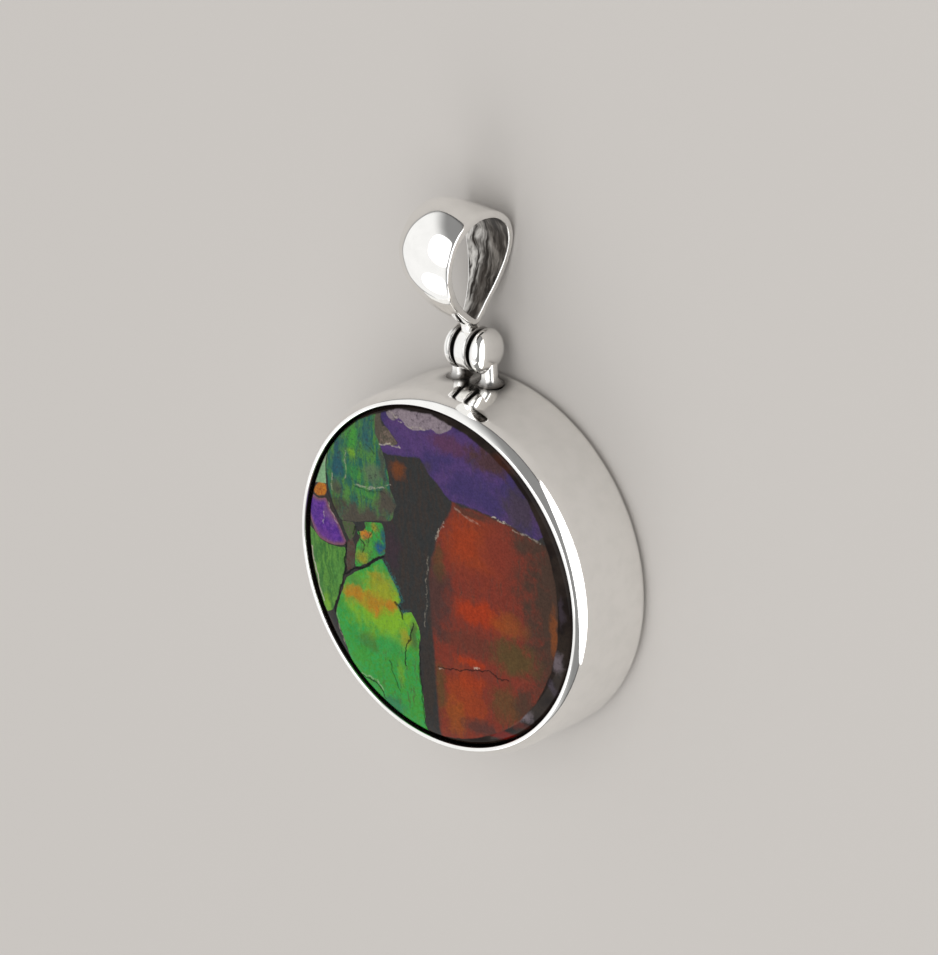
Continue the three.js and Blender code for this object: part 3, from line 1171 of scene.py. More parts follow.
# %% Plates
PLATES = {
    "shell": [
        (10.98, 0.0), (10.85, 2.0), (10.4, 4.0), (9.6, 6.0), (8.6, 7.6), (7.1, 9.1), (5.2, 10.3),
        (3.0, 11.2), (0.0, 11.8), (-3.0, 11.5), (-5.0, 10.7), (-6.9, 9.75), (-8.6, 8.35), (-9.95, 6.75),
        (-11.0, 4.5), (-11.6, 2.5), (-11.78, 0.0), (-11.6, -1.7), (-11.0, -4.2), (-10.6, -5.4),
        (-9.7, -6.9), (-8.6, -8.3), (-7.1, -9.7), (-4.0, -11.3), (-1.6, -11.85), (0.0, -11.8),
        (1.5, -11.55), (3.0, -11.1), (5.0, -10.2), (6.9, -9.0), (8.6, -7.1), (9.4, -5.8), (10.1, -4.5),
        (10.8, -2.3),
    ],
    "red": [
        (1.6, 5.3), (1.75, 5.95), (2.6, 5.65), (3.3, 5.78), (4.2, 5.75), (5.2, 5.62), (7.0, 5.4),
        (8.0, 5.08), (9.3, 4.88), (12.0, 4.4), (12.5, -3.0), (9.0, -9.0), (4.0, -12.0), (-0.3, -12.2),
        (-0.45, -9.0), (-0.5, -7.5), (-0.5, -6.0), (-0.7, -3.0), (-0.72, 0.0), (-0.45, 1.2),
        (-0.05, 2.0), (0.15, 2.8), (0.4, 3.5), (0.8, 4.1), (1.3, 4.75),
    ],
    "violet": [
        (-4.6, 10.6), (-4.0, 9.95), (-3.0, 9.0), (-4.75, 8.62), (-4.5, 8.05), (-3.9, 8.0), (-3.0, 8.15),
        (-2.0, 8.3), (-1.1, 8.45), (-0.75, 8.0), (-0.2, 7.4), (0.5, 6.9), (1.0, 6.4), (1.45, 6.0),
        (3.0, 5.92), (5.0, 5.78), (7.0, 5.5), (8.0, 5.2), (9.4, 4.98), (10.6, 6.0), (8.0, 9.6),
        (3.0, 12.0), (-4.7, 11.6),
    ],
    "mauve": [
        (-4.4, 11.6), (-4.1, 10.95), (-3.75, 10.7), (-3.4, 10.62), (-3.1, 10.75), (-3.0, 11.0),
        (-2.6, 10.85), (-2.1, 10.45), (-1.6, 10.33), (-1.0, 10.45), (-0.3, 10.65), (0.2, 10.85),
        (0.5, 10.62), (1.0, 10.65), (1.4, 10.9), (1.9, 11.2), (2.1, 12.0), (-3.0, 12.2),
    ],
    "streaked": [
        (-9.85, 6.9), (-9.85, 5.6), (-9.75, 4.6), (-9.65, 4.0), (-9.4, 3.3), (-9.1, 2.7), (-8.75, 2.1),
        (-7.4, 2.25), (-6.4, 2.55), (-5.3, 2.85), (-4.7, 2.95), (-4.1, 3.1), (-3.8, 3.45), (-3.7, 3.9),
        (-3.42, 4.4), (-3.65, 4.9), (-3.95, 5.4), (-4.05, 6.3), (-4.2, 7.2), (-4.45, 8.0), (-4.75, 8.6),
        (-5.0, 9.4), (-5.1, 11.2), (-8.0, 10.4), (-10.5, 7.8),
    ],
    "strip": [
        (-5.1, 9.2), (-4.75, 8.7), (-4.35, 9.95), (-4.6, 10.6), (-4.6, 11.4), (-5.15, 11.4),
    ],
    "brown": [
        (-4.75, 8.64), (-3.6, 8.75), (-2.95, 8.97), (-3.6, 9.6), (-4.15, 10.05), (-4.45, 9.9),
    ],
    "pale": [
        (-9.95, 7.0), (-9.95, 5.6), (-9.88, 4.5), (-10.9, 4.3), (-11.6, 4.0), (-11.2, 5.4),
        (-10.4, 7.0),
    ],
    "amber": [
        (-9.9, 4.42), (-10.6, 4.4), (-11.15, 3.9), (-11.3, 3.5), (-10.6, 3.4), (-10.1, 3.55),
        (-9.85, 3.9),
    ],
    "lens": [
        (-11.8, 3.3), (-11.2, 3.3), (-10.7, 3.22), (-10.3, 3.3), (-10.0, 3.42), (-9.8, 3.0),
        (-9.6, 2.6), (-9.2, 2.2), (-8.8, 1.6), (-8.5, 1.0), (-8.25, 0.5), (-8.6, 0.25), (-9.3, 0.1),
        (-10.0, 0.08), (-10.7, 0.25), (-11.1, 0.6), (-11.45, 1.2), (-12.0, 2.0),
    ],
    "leaf": [
        (-11.9, 0.9), (-11.3, 0.72), (-10.7, 0.18), (-9.9, 0.0), (-9.0, 0.02), (-8.32, 0.2),
        (-8.42, -0.6), (-8.52, -1.3), (-8.72, -2.1), (-9.05, -3.0), (-9.45, -3.95), (-9.85, -4.8),
        (-10.5, -5.15), (-11.4, -4.0), (-12.0, -1.6),
    ],
    "grit": [
        (-8.2, 0.6), (-7.7, 1.0), (-7.45, 0.5), (-7.52, 0.0), (-7.55, -0.7), (-7.7, -1.2),
        (-8.3, -1.62), (-8.38, -1.0), (-8.25, 0.0),
    ],
    "shard": [
        (-8.6, 2.05), (-7.45, 2.2), (-7.35, 1.75), (-7.55, 1.1), (-7.95, 0.8), (-8.3, 1.3),
    ],
    "chip": [
        (-7.55, -1.1), (-7.5, -0.2), (-7.3, 0.7), (-6.9, 1.3), (-7.3, 1.6), (-6.7, 1.75), (-6.4, 2.1),
        (-6.5, 2.45), (-5.9, 2.62), (-4.85, 2.8), (-4.66, 2.2), (-4.64, 1.2), (-4.7, 0.6),
        (-4.95, 0.38), (-5.5, 0.12), (-6.2, -0.38), (-7.0, -0.86),
    ],
    "meadow": [
        (-8.45, -2.1), (-7.7, -1.55), (-7.0, -1.13), (-6.2, -0.65), (-5.5, -0.15), (-5.0, 0.12),
        (-4.6, -0.4), (-4.3, -0.9), (-3.9, -1.5), (-3.6, -2.0), (-3.45, -2.6), (-3.72, -3.0),
        (-3.3, -3.5), (-2.9, -3.3), (-2.5, -3.2), (-2.2, -3.6), (-1.9, -4.2), (-1.75, -4.8),
        (-1.95, -5.6), (-2.0, -7.5), (-1.9, -8.3), (-1.75, -9.2), (-1.7, -10.2), (-1.6, -12.2),
        (-4.5, -12.2), (-8.4, -9.6), (-8.55, -7.8), (-8.95, -6.7), (-9.35, -5.8), (-9.55, -5.1),
        (-9.45, -4.5), (-9.1, -3.6), (-8.75, -2.8),
    ],
}
print("plates:", ", ".join(PLATES))

# %% [markdown]
# The outlines are laid out flat, level with the lip, as they line up when the pendant is seen from the
# camera. The crown stands a little above that level, so each of its points is first followed down the
# line of sight, which moves the marks by less than half a millimetre.

# %% Depth inside a plate
FLAT_LEVEL = CUP_DEPTH
SIGHT_LINE = (CAMERA_BACK.x / CAMERA_BACK.z, CAMERA_BACK.y / CAMERA_BACK.z, 0)


def depth_inside(x, y, outline):
    """How far the points (x, y) lie inside a closed outline; less than zero outside."""
    nearest = numpy.full(x.shape, 1e9)
    inside = numpy.zeros(x.shape, bool)
    for (ax, ay), (bx, by) in zip(outline, outline[1:] + outline[:1]):
        dx, dy = bx - ax, by - ay
        share = numpy.clip(((x - ax) * dx + (y - ay) * dy) / (dx * dx + dy * dy), 0, 1)
        nearest = numpy.minimum(nearest, numpy.hypot(x - ax - dx * share, y - ay - dy * share))
        if ay != by:
            inside ^= ((ay > y) != (by > y)) & (x < ax + dx * (y - ay) / dy)
    return numpy.where(inside, nearest, -nearest)


def store_plates(mesh):
    places = numpy.empty(len(mesh.vertices) * 3)
    mesh.vertices.foreach_get("co", places)
    places = places.reshape(-1, 3) / MM
    crown = numpy.maximum(places[:, 2] - FLAT_LEVEL, 0)
    x, y = (places[:, axis] - crown * SIGHT_LINE[axis] for axis in (0, 1))
    for name, outline in PLATES.items():
        store(mesh, name, depth_inside(x, y, outline))


print(f"the crown stands {STONE_TOP - FLAT_LEVEL:.2f} mm above the lip")
unit_square = [(0, 0), (1, 0), (1, 1), (0, 1)]
print("the middle of a unit square lies", depth_inside(*numpy.full((2, 1), 0.5), unit_square)[0], "deep")

# %% [markdown]
# The colours of ammolite aren't pigments: stacked layers in the shell mirror one colour of the light,
# and where the stack is thicker or thinner the colour shifts. So the tints are few and they flow into
# each other. Each tint is written as the screen colour that it should have under this light, and is
# turned into the colour that the shader needs.

# %% Tints
LIGHT_LEVEL = 1.08
GLOSS_VEIL = 0.011


def tint(red, green, blue):
    """The colour that a surface must have to look like this on the screen under the studio light."""
    return tuple(max(0.0015, (c - GLOSS_VEIL) / LIGHT_LEVEL) for c in linear(red, green, blue))


SHALE, WARM_SHALE, INK = tint(53, 54, 54), tint(58, 52, 49), tint(30, 25, 22)
SCARLET, EMBER, BRICK = tint(152, 56, 32), tint(134, 60, 38), tint(116, 54, 44)
COPPER, AMBER, OCHRE = tint(134, 74, 38), tint(180, 118, 46), tint(162, 114, 40)
PLUM, UMBER, OLIVE = tint(74, 54, 51), tint(70, 55, 48), tint(84, 68, 45)
VIOLET, INDIGO, WINE = tint(80, 60, 104), tint(64, 54, 94), tint(86, 56, 78)
LAVENDER, SLATE, BONE = tint(133, 121, 128), tint(66, 58, 66), tint(176, 168, 152)
GREEN, EMERALD, LIME = tint(66, 142, 58), tint(54, 142, 72), tint(116, 160, 46)
FERN, TEAL, PETROL = tint(76, 124, 62), tint(46, 98, 86), tint(42, 82, 98)
MOSS, DRIFT, GOLD = tint(70, 92, 56), tint(80, 75, 66), tint(150, 132, 44)
GRAPE, MINT, SAGE = tint(76, 46, 124), tint(120, 156, 118), tint(92, 112, 84)
IVY, GRASS, AZURE = tint(62, 108, 56), tint(86, 130, 60), tint(40, 84, 132)
HEATHER, ORCHID, IRIS = tint(104, 74, 118), tint(98, 58, 120), tint(96, 58, 134)
DUN, ROSE, CLAY = tint(104, 90, 82), tint(116, 80, 92), tint(104, 62, 40)
FLAME, TANGERINE, AUBERGINE = tint(190, 96, 48), tint(182, 104, 40), tint(60, 48, 56)
REFLECTED_RED, REFLECTED_MAROON, HIDE = tint(104, 34, 20), tint(84, 36, 22), tint(66, 40, 32)
PEAT, SOOT, LIP_SHADOW = tint(50, 43, 39), tint(36, 31, 28), (0.014, 0.011, 0.010)
print("the brightest red takes", [round(share, 3) for share in SCARLET])

# %% [markdown]
# The marks come in layers, as in the real stone: dark shale at the bottom, then the plates, then soft
# flows of other tints inside each plate, then cracks and bright scratches, and last the dark band round
# the edge where the shell was ground away. Three kinds of noise keep it natural. A slow one bends all
# the soft marks, a grainy one roughens the plates' edges, and fine ones give the shell its sugary look.

# %% Grain and plates
BEND = 0.8
STREAK_STRETCH = (3.4, 0.6, 1)
SMUDGE_STRETCH = (1.5, 1.1, 1)
SMUDGE_DEPTH = 1.3


class ShellRecipe(Recipe):
    """A recipe with the noises of a shell, and its plates."""

    def __init__(self, name):
        super().__init__(name)
        place = self.place()
        height = self.node("ShaderNodeSeparateXYZ", None, {0: place}, output="Z")
        crown = self.node("ShaderNodeMath", {"operation": "MAXIMUM"}, {0: height - FLAT_LEVEL, 1: 0.0})
        self.at = self.vector("SUBTRACT", place, self.vector("SCALE", SIGHT_LINE, Scale=crown))
        drift = self.noise(self.at, 1.1, 4.0, output="Color")
        centred = self.vector("SUBTRACT", drift, (0.5, 0.5, 0.5))
        self.bent = self.vector("ADD", self.at, self.vector("SCALE", centred, Scale=BEND))
        self.ragged = self.noise(self.at, 1.9, 5.0, 0.65) - 0.5
        self.fine = self.noise(self.at, 6.5, 4.0, 0.7)
        self.sugar = self.noise(self.at, 3.1, 5.0, 0.75)
        self.streaks = self.noise(self.shift(self.bent, STREAK_STRETCH), 1.0, 5.0, 0.65)
        self.clouds = self.noise(self.at, 0.55, 3.0)
        smudge = self.noise(self.shift(self.bent, SMUDGE_STRETCH), 1.0, 5.0, 0.65)
        self.smudge = (smudge - 0.5) * SMUDGE_DEPTH

    def lay(self, below, name, finish, soft=0.06, rough=0.2):
        """One plate's finish, laid over what is below it."""
        shown = self.ease(self.stored(name) + self.ragged * rough, -soft / 2, soft / 2)
        return self.mix(below, finish, shown)

    def near_edge(self, name, width):
        """1 at a plate's edge, fading to 0 at width inside it."""
        return self.ease(self.stored(name) + self.ragged * 0.3, 0.0, width, 1.0, 0.0)

    def two_tone(self, first, second, noise, low=0.38, high=0.64):
        """Two tints that alternate as the noise does."""
        return self.mix(first, second, self.ease(noise, low, high))


print("a shell has seven noises, from 0.15 to 2 mm")

# %% [markdown]
# Two more marks are needed. A spot is a soft oval patch: its edge follows the slow noise, so no two look
# alike. A line is a crack or a scratch: the shader measures how far each point lies from the nearest
# stretch of it.

# %% Patches and lines


class StoneRecipe(ShellRecipe):
    """The soft patches and the thin lines that lie on the plates."""

    def spot(self, x, y, width, height, edge=0.3):
        """1 in the middle of a soft oval patch, 0 outside it."""
        near = self.shift(self.bent, (1 / width, 1 / height, 0), (-x / width, -y / height, 0))
        return self.ease(self.vector("LENGTH", near, output=1) + self.smudge, edge, 1.0, 1.0, 0.0)

    def line(self, points, width):
        """1 along a thin line through the points."""
        nearest = None
        for (ax, ay), (bx, by) in zip(points, points[1:]):
            length = math.hypot(bx - ax, by - ay)
            along = ((bx - ax) / length, (by - ay) / length, 0)
            start = self.shift(self.bent, (1, 1, 0), (-ax, -ay, 0))
            run = self.vector("DOT_PRODUCT", start, along, output=1)
            run = self.node("ShaderNodeClamp", None, {0: run, 1: 0.0, 2: length})
            foot = self.vector("SCALE", along, Scale=run)
            away = self.vector("DISTANCE", start, foot, output=1)
            nearest = away if nearest is None else self.nearer(nearest, away)
        return self.ease(nearest, width * 0.3, width, 1.0, 0.0)

    def nearer(self, first, second):
        return self.node("ShaderNodeMath", {"operation": "MINIMUM"}, {0: first, 1: second})

    def flows(self, base, soft_spots):
        """Soft patches over a base tint: (tint, x, y, half width, half height, strength)."""
        for colour, x, y, width, height, strength in soft_spots:
            base = self.mix(base, colour, self.spot(x, y, width, height) * strength)
        return base


print("patches and lines are given in millimetres on the face")

# %% [markdown]
# ### The plates
# Each plate has a base of two tints that a noise mixes, and a table of soft spots that flow over it. A
# row of the table gives the tint, the middle, the half width and height in millimetres, and how strong
# it is. The first plate is green with blue streaks that run up and down, because the shell's layers
# were cut at a slant there. It fades to a grey-brown foot.

# %% Streaked plate
STREAKED_FLOWS = [
    (PETROL, -8.8, 6.2, 0.7, 2.2, 0.9),
    (PETROL, -5.9, 8.9, 0.7, 1.7, 0.75),
    (GREEN, -7.4, 8.4, 0.8, 1.3, 0.85),
    (LIME, -7.5, 7.4, 0.7, 0.5, 0.75),
    (GREEN, -7.2, 5.9, 1.2, 0.8, 0.55),
    (SAGE, -5.5, 6.1, 1.3, 1.0, 0.9),
    (GREEN, -6.2, 4.6, 1.5, 0.6, 0.4),
    (DRIFT, -4.5, 7.4, 0.5, 2.6, 0.7),
    (DRIFT, -4.3, 4.4, 1.5, 1.5, 1.0),
    (DRIFT, -6.4, 2.7, 4.2, 1.5, 1.0),
    (UMBER, -8.9, 3.3, 0.9, 0.9, 0.6),
    (DRIFT, -8.9, 4.4, 0.8, 0.9, 0.8),
]


def streaked_plate(stone, below):
    streaked = stone.flows(stone.two_tone(TEAL, FERN, stone.streaks, 0.4, 0.6), STREAKED_FLOWS)
    streaked = stone.mix(streaked, SHALE, stone.ease(stone.sugar, 0.5, 0.66) * 0.6 + 0.12)
    below = stone.lay(below, "streaked", streaked)
    return stone.lay(below, "strip", DRIFT, soft=0.2)


print("the streaked plate has", len(STREAKED_FLOWS), "flows")

# %% [markdown]
# Along the left edge the shell broke small. There is a violet lens with a rosy border, a green leaf with
# a pale scratch, an amber crumb, and bits of dull shale between them.

# %% Lens, leaf and small pieces
LEAF_FLOWS = [
    (LIME, -10.4, -4.4, 0.6, 1.0, 0.6),
    (FERN, -9.2, -2.0, 0.9, 2.0, 0.6),
]
LENS_FLOWS = [
    (HEATHER, -9.5, 2.3, 1.1, 0.9, 0.8),
    (ORCHID, -10.6, 0.6, 1.6, 0.7, 0.6),
]
LENS_BORDER = 0.42
LEAF_SCRATCH = [(-11.62, -0.6), (-11.35, -2.4), (-10.85, -4.3)]


def small_plates(stone, below):
    two_tone, lay = stone.two_tone, stone.lay
    below = lay(below, "brown", two_tone(DRIFT, DUN, stone.sugar))
    below = lay(below, "pale", two_tone(BONE, MINT, stone.clouds))
    below = lay(below, "amber", two_tone(AMBER, COPPER, stone.fine), soft=0.14)

    lens = stone.flows(two_tone(GRAPE, IRIS, stone.sugar), LENS_FLOWS)
    lens = stone.mix(lens, ROSE, stone.near_edge("lens", LENS_BORDER))
    below = lay(below, "lens", lens, rough=0.08)

    leaf = stone.flows(two_tone(IVY, GRASS, stone.streaks), LEAF_FLOWS)
    leaf = stone.mix(leaf, BONE, stone.line(LEAF_SCRATCH, 0.14) * 0.7)
    below = lay(below, "leaf", leaf, rough=0.1)
    below = lay(below, "grit", two_tone(DRIFT, PLUM, stone.sugar))
    return lay(below, "shard", two_tone(MOSS, DRIFT, stone.fine))


print("seven small pieces, two of them with flows")

# %% [markdown]
# Between two cracks sits a small chip with nearly every colour of the stone: gold and flame on its left,
# green in the middle, and blue where it meets the shale.

# %% Chip
CHIP_FLOWS = [
    (GOLD, -6.9, -0.2, 0.9, 0.7, 0.8),
    (LIME, -6.4, 0.6, 0.7, 1.0, 0.4),
    (GOLD, -5.6, 2.3, 0.5, 0.5, 0.8),
    (PETROL, -5.1, 0.9, 0.8, 0.8, 1.0),
    (AZURE, -5.2, 0.8, 0.5, 0.4, 0.6),
    (PETROL, -4.7, 1.8, 0.35, 1.4, 0.9),
    (AMBER, -6.5, 1.55, 0.8, 0.42, 1.0),
    (FLAME, -6.2, 1.5, 0.4, 0.25, 0.8),
]


def chip_plate(stone, below):
    chip = stone.flows(stone.two_tone(GREEN, EMERALD, stone.fine), CHIP_FLOWS)
    chip = stone.mix(chip, MOSS, stone.ease(stone.sugar, 0.45, 0.62) * 0.8)
    return stone.lay(below, "chip", chip, rough=0.26)


print("the chip has", len(CHIP_FLOWS), "flows")

# %% [markdown]
# The big green plate at the lower left is the brightest one, so it is called the meadow. A band of gold
# and ochre crosses its upper part, fine veins run down its right side, and sparks of blue shell are
# left on the shale just outside its edge.

# %% Meadow
MEADOW_FLOWS = [
    (LIME, -5.0, -3.6, 4.9, 3.2, 1.0),
    (FERN, -7.6, -2.4, 1.2, 1.0, 0.7),
    (GOLD, -5.2, -2.0, 1.9, 1.7, 0.6),
    (GOLD, -6.6, -3.2, 3.0, 1.0, 0.9),
    (OCHRE, -7.6, -3.0, 1.3, 0.7, 0.9),
    (OCHRE, -5.8, -3.6, 1.2, 0.9, 0.8),
    (OCHRE, -4.5, -3.2, 1.0, 0.5, 1.0),
    (TANGERINE, -5.8, -3.9, 0.5, 0.45, 0.5),
    (OCHRE, -5.6, -1.3, 0.8, 0.5, 0.25),
    (GOLD, -3.2, -5.2, 0.8, 0.9, 0.6),
    (MOSS, -2.4, -4.8, 0.5, 1.4, 0.8),
    (EMERALD, -4.6, -6.2, 1.5, 0.9, 0.8),
    (MOSS, -6.6, -6.4, 1.4, 0.9, 0.5),
    (GREEN, -7.4, -7.6, 1.3, 0.8, 0.7),
    (LIME, -3.7, -8.0, 0.5, 1.4, 0.55),
    (GREEN, -2.4, -9.8, 0.6, 1.5, 0.8),
    (TEAL, -4.6, -10.6, 1.5, 0.9, 0.6),
]
VEINED_PATCH = (-3.6, -8.6, 2.6, 3.2, 0.4)
SPARK_PATCH = (-3.9, -1.6, 2.2, 3.2, 0.4)


def meadow_plate(stone, below):
    meadow = stone.two_tone(GREEN, EMERALD, stone.sugar, 0.42, 0.58)
    meadow = stone.flows(meadow, MEADOW_FLOWS)
    veins = stone.ease(stone.streaks, 0.52, 0.66) * stone.spot(*VEINED_PATCH)
    meadow = stone.mix(meadow, MOSS, veins * 0.8)
    meadow = stone.mix(meadow, MOSS, stone.ease(stone.fine, 0.52, 0.68) * 0.6)
    return stone.lay(below, "meadow", meadow, rough=0.26)


def meadow_sparks(stone, below):
    sparks = stone.ease(stone.stored("meadow") + stone.ragged * 1.2, -0.35, 0.05)
    sparks = sparks * stone.spot(*SPARK_PATCH) * stone.ease(stone.fine, 0.4, 0.55)
    outside = stone.ease(stone.stored("meadow"), -0.05, 0.25, 1.0, 0.0)
    return stone.mix(below, stone.two_tone(PETROL, TEAL, stone.fine), sparks * outside)


print("the meadow has", len(MEADOW_FLOWS), "flows")

# %% [markdown]
# The biggest plate is red. Bands of scarlet and copper cross it, dull olive lies between them, and it
# sinks into brown on both sides, where the shell is thinnest.

# %% Red plate
RED_FLOWS = [
    (UMBER, 11.9, 0.0, 6.4, 14.0, 1.0),
    (EMBER, 3.4, 3.0, 3.6, 3.2, 0.9),
    (SCARLET, 2.6, 3.2, 1.7, 2.1, 0.3),
    (BRICK, 5.6, 3.2, 2.1, 2.1, 0.85),
    (BRICK, 3.4, 0.9, 2.6, 0.9, 0.6),
    (SCARLET, 3.6, -1.8, 3.2, 1.4, 0.8),
    (COPPER, 6.4, -2.0, 2.2, 1.3, 0.6),
    (UMBER, 3.2, -4.15, 5.2, 1.2, 0.4),
    (OLIVE, 6.8, -4.3, 3.0, 1.8, 0.95),
    (SCARLET, 2.9, -5.6, 1.9, 0.5, 0.8),
    (BRICK, 7.4, -6.0, 1.5, 0.6, 0.7),
    (EMBER, 2.2, -8.4, 2.6, 3.0, 1.0),
    (SCARLET, 2.8, -7.0, 1.9, 0.9, 0.4),
    (COPPER, 1.2, -9.9, 1.5, 1.9, 0.7),
    (OLIVE, -0.1, -8.0, 0.7, 2.4, 0.8),
    (OLIVE, 6.0, -8.0, 2.4, 1.9, 0.7),
    (UMBER, 7.6, -7.6, 1.4, 1.8, 0.8),
    (PLUM, 3.4, -10.2, 2.4, 0.8, 0.8),
    (COPPER, 10.55, -1.6, 0.5, 2.4, 0.55),
    (UMBER, 3.6, 5.5, 2.6, 0.5, 0.7),
    (UMBER, 8.6, 4.4, 2.2, 1.0, 0.8),
    (PLUM, -0.6, -1.3, 2.6, 4.4, 0.95),
    (OLIVE, 0.3, 1.2, 0.8, 1.8, 0.6),
]


def red_plate(stone, below):
    red = stone.flows(stone.two_tone(BRICK, UMBER, stone.streaks, 0.46, 0.8), RED_FLOWS)
    return stone.lay(below, "red", red, soft=0.3)


print("the red plate has", len(RED_FLOWS), "flows")

# %% [markdown]
# The top plate goes from violet to indigo and gets duller to the right. A scalloped flake of mauve,
# almost white, still covers its upper edge.

# %% Violet plate and its pale cap
VIOLET_FLOWS = [
    (INDIGO, 3.6, 7.4, 3.6, 1.8, 0.9),
    (WINE, 1.8, 10.0, 3.0, 1.0, 0.85),
    (PLUM, 5.4, 9.8, 3.0, 1.5, 0.9),
    (SLATE, 8.0, 6.8, 2.4, 2.6, 0.85),
    (VIOLET, -2.2, 9.2, 2.4, 1.0, 0.7),
    (SLATE, -0.6, 7.8, 0.8, 0.7, 0.6),
]


def violet_plate(stone, below):
    violet = stone.flows(stone.two_tone(VIOLET, INDIGO, stone.clouds, 0.4, 0.6), VIOLET_FLOWS)
    violet = stone.mix(violet, SLATE, stone.ease(stone.streaks, 0.5, 0.75) * 0.5)
    below = stone.lay(below, "violet", violet, soft=0.16, rough=0.3)
    mauve = stone.two_tone(LAVENDER, SLATE, stone.sugar, 0.45, 0.75)
    return stone.lay(below, "mauve", mauve, soft=0.1)


print("the violet plate has", len(VIOLET_FLOWS), "flows")

# %% [markdown]
# ### What lies on the plates
# Cracks are dark and unbroken. Scratches are pale where calcite fills them, and the grain breaks them
# up. A row gives the points of the line, its width in millimetres and how strong it is.

# %% Scratches and cracks
THINNED = 0.8
FADED = 0.85
PALE_LINES = [
    ([(-7.4, 4.95), (-5.3, 5.3), (-4.0, 5.75)], 0.16, 0.55),
    ([(-4.7, 8.62), (-3.6, 8.72), (-2.95, 8.92)], 0.12, 0.75),
    ([(5.3, 5.68), (6.9, 5.45)], 0.13, 0.85),
    ([(7.2, 5.25), (9.6, 4.85)], 0.14, 0.4),
    ([(1.9, 5.45), (3.1, 5.0), (4.2, 4.75)], 0.16, 0.25),
    ([(0.1, 2.8), (0.45, 3.55), (0.95, 4.25)], 0.12, 0.55),
    ([(-10.2, 2.3), (-10.28, 1.5)], 0.1, 0.5),
    ([(-9.9, 3.2), (-9.6, 2.6), (-8.9, 1.6)], 0.1, 0.4),
    ([(-9.35, 5.3), (-9.4, 4.2)], 0.14, 0.5),
    ([(-8.05, 7.3), (-8.1, 5.3)], 0.1, 0.4),
    ([(-0.72, 1.3), (-0.98, -0.4), (-1.05, -2.0), (-1.35, -4.0)], 0.12, 0.3),
    ([(-7.6, -9.0), (-5.9, -9.05), (-5.5, -9.6)], 0.12, 0.5),
    ([(-9.6, -5.0), (-9.3, -5.9), (-8.75, -7.2)], 0.1, 0.35),
    ([(3.15, -5.86), (3.6, -5.8)], 0.13, 0.8),
    ([(-0.3, -6.72), (0.1, -6.72)], 0.12, 0.5),
    ([(-3.85, 11.2), (-2.9, 10.85), (-1.7, 10.4), (-0.4, 10.7)], 0.1, 0.45),
]
DARK_LINES = [
    ([(-8.5, -1.9), (-7.7, -1.38), (-7.0, -0.98), (-6.2, -0.5), (-5.5, 0.0), (-4.9, 0.28)], 0.15, 0.9),
    ([(-8.3, 0.6), (-8.45, -0.9), (-8.62, -1.9), (-9.1, -3.2), (-9.75, -4.9)], 0.17, 0.85),
    ([(-8.55, 2.1), (-9.2, 2.7), (-9.75, 3.6), (-9.9, 5.2)], 0.1, 0.4),
    (
        [(-0.3, -6.62), (0.9, -6.55), (2.2, -6.3), (3.2, -6.0), (4.4, -5.9), (5.6, -6.05), (6.2, -6.15)],
        0.1, 0.7,
    ),
    ([(-2.35, -3.9), (-2.7, -5.0), (-3.15, -6.3), (-3.3, -7.2)], 0.1, 0.8),
    ([(-3.95, -2.9), (-3.5, -3.2), (-3.3, -3.8)], 0.17, 0.8),
    ([(-7.7, -9.15), (-6.0, -9.2), (-5.6, -9.75), (-5.35, -10.3)], 0.11, 0.85),
    ([(-1.85, -5.0), (-1.95, -7.0), (-1.8, -9.2), (-1.6, -11.8)], 0.12, 0.6),
    ([(-7.2, 1.6), (-6.7, 0.9), (-6.85, 0.1)], 0.1, 0.7),
    ([(-5.7, 2.3), (-6.1, 1.2), (-6.3, 0.7)], 0.08, 0.6),
    ([(-7.3, 1.9), (-7.6, 1.2)], 0.12, 0.7),
    ([(-4.7, -7.4), (-4.3, -8.6), (-4.0, -9.4)], 0.1, 0.5),
    ([(-6.1, 8.2), (-5.3, 7.7)], 0.1, 0.4),
    ([(-7.3, 4.8), (-4.4, 5.1)], 0.1, 0.35),
]


def draw_lines(stone, colour):
    for points, width, strength in DARK_LINES:
        colour = stone.mix(colour, INK, stone.line(points, width * THINNED) * strength)
    broken = stone.ease(stone.sugar, 0.40, 0.56)
    for points, width, strength in PALE_LINES:
        scratch = stone.line(points, width * THINNED) * broken * (strength * FADED)
        colour = stone.mix(colour, BONE, scratch)
    return colour


print(len(PALE_LINES), "pale lines and", len(DARK_LINES), "cracks")

# %% [markdown]
# Round the edge the shell was ground away, and the dark shale shows with a few stains and painted
# reflections: the dark red crescent at the lower right is a painted reflection of the red plate, and the
# two lavender patches there are painted highlights. Next to the lip it is nearly black, because no light
# gets between the stone and the silver.

# %% Edge band
LIP_GAP = (11.85, 12.1)
BAND_STAINS_AND_REFLECTIONS = [
    # the two red rows paint a reflection of the red plate, and the two lavender rows paint highlights
    (REFLECTED_RED, 5.2, -10.3, 2.3, 0.55, 1.0),
    (REFLECTED_MAROON, 7.0, -9.1, 1.0, 0.5, 0.8),
    (HIDE, 6.4, 9.8, 1.8, 1.0, 0.8),
    (LAVENDER, 7.5, -8.3, 0.9, 0.7, 0.55),
    (LAVENDER, 10.7, -3.6, 0.6, 1.1, 0.5),
    (SLATE, 10.1, -5.7, 0.5, 0.8, 0.9),
    (SLATE, 11.3, 0.2, 0.4, 1.4, 0.6),
]


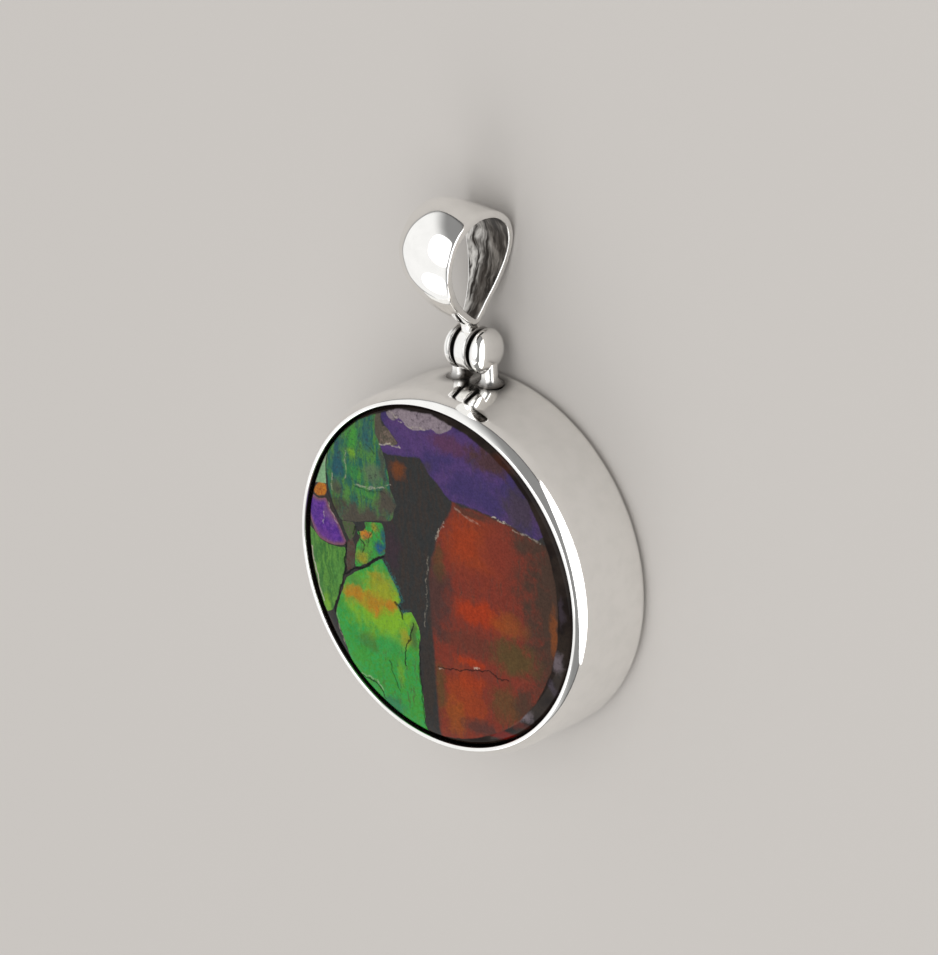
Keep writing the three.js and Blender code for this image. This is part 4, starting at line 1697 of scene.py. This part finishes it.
def edge_band(stone, colour):
    """The dark band, with the plates' colour laid inside it."""
    band = stone.flows(stone.two_tone(PEAT, SOOT, stone.clouds), BAND_STAINS_AND_REFLECTIONS)
    band = stone.mix(band, INK, stone.ease(stone.sugar, 0.5, 0.7) * 0.6)
    colour = stone.lay(band, "shell", colour, soft=0.14, rough=0.16)
    radius = stone.vector("LENGTH", stone.shift(stone.place(), (1, 1, 0)), output=1)
    return stone.mix(colour, LIP_SHADOW, stone.ease(radius, *LIP_GAP))


print("the edge band has", len(BAND_STAINS_AND_REFLECTIONS), "stains")

# %% [markdown]
# ### The whole finish
# Now the layers go on in their order, from the shale up. A last grain makes every tint a little lighter
# or darker from point to point. The polish is a thin coat, because the shell under it is soft and dull.

# %% The whole stone's finish
SHELL_ROUGHNESS = 0.4
POLISH, POLISH_ROUGHNESS = 0.22, 0.03
SHELL_BUMP = 0.003 * MM
GRAIN = {"fine": 0.16, "sugar": 0.1, "streaks": 0.08}
SHALE_FLOWS = [
    (CLAY, -3.1, 7.1, 1.0, 0.9, 0.9),
    (AUBERGINE, -4.0, 1.0, 1.0, 2.4, 0.7),
    (WARM_SHALE, -1.2, -8.0, 0.9, 4.0, 0.8),
]
LAYERS = [red_plate, violet_plate, streaked_plate, small_plates, chip_plate, meadow_plate]
LAYERS += [meadow_sparks, draw_lines]


def stone_recipe():
    stone = StoneRecipe("ammolite_shell")
    colour = stone.flows(stone.two_tone(SHALE, WARM_SHALE, stone.streaks, 0.4, 0.65), SHALE_FLOWS)
    for layer in LAYERS:
        colour = layer(stone, colour)
    for noise, depth in GRAIN.items():
        level = stone.ease(getattr(stone, noise), 0.3, 0.7, 1 - depth, 1 + depth)
        colour = stone.vector("SCALE", colour, Scale=level)
    return stone.finish(
        Base_Color=edge_band(stone, colour),
        Roughness=SHELL_ROUGHNESS,
        Specular_IOR_Level=0.0,
        Coat_Weight=POLISH,
        Coat_Roughness=POLISH_ROUGHNESS,
        Normal=stone.bump(stone.fine, SHELL_BUMP),
    )


print(len(LAYERS), "layers lie on the shale")

# %% [markdown]
# The stone's mesh is turned like the cup, but with smaller faces, because the plates' outlines are kept
# on its points and would look stepped on bigger ones.

# %% The stone
STONE_STEPS = 320
STONE_FACES = 0.16
stone_mesh = turn_mesh("stone", stone_profile(), STONE_STEPS, stone_recipe(), longest=STONE_FACES)
store_plates(stone_mesh)
piece("stone", stone_mesh, "pendant", "ammolite_stone")
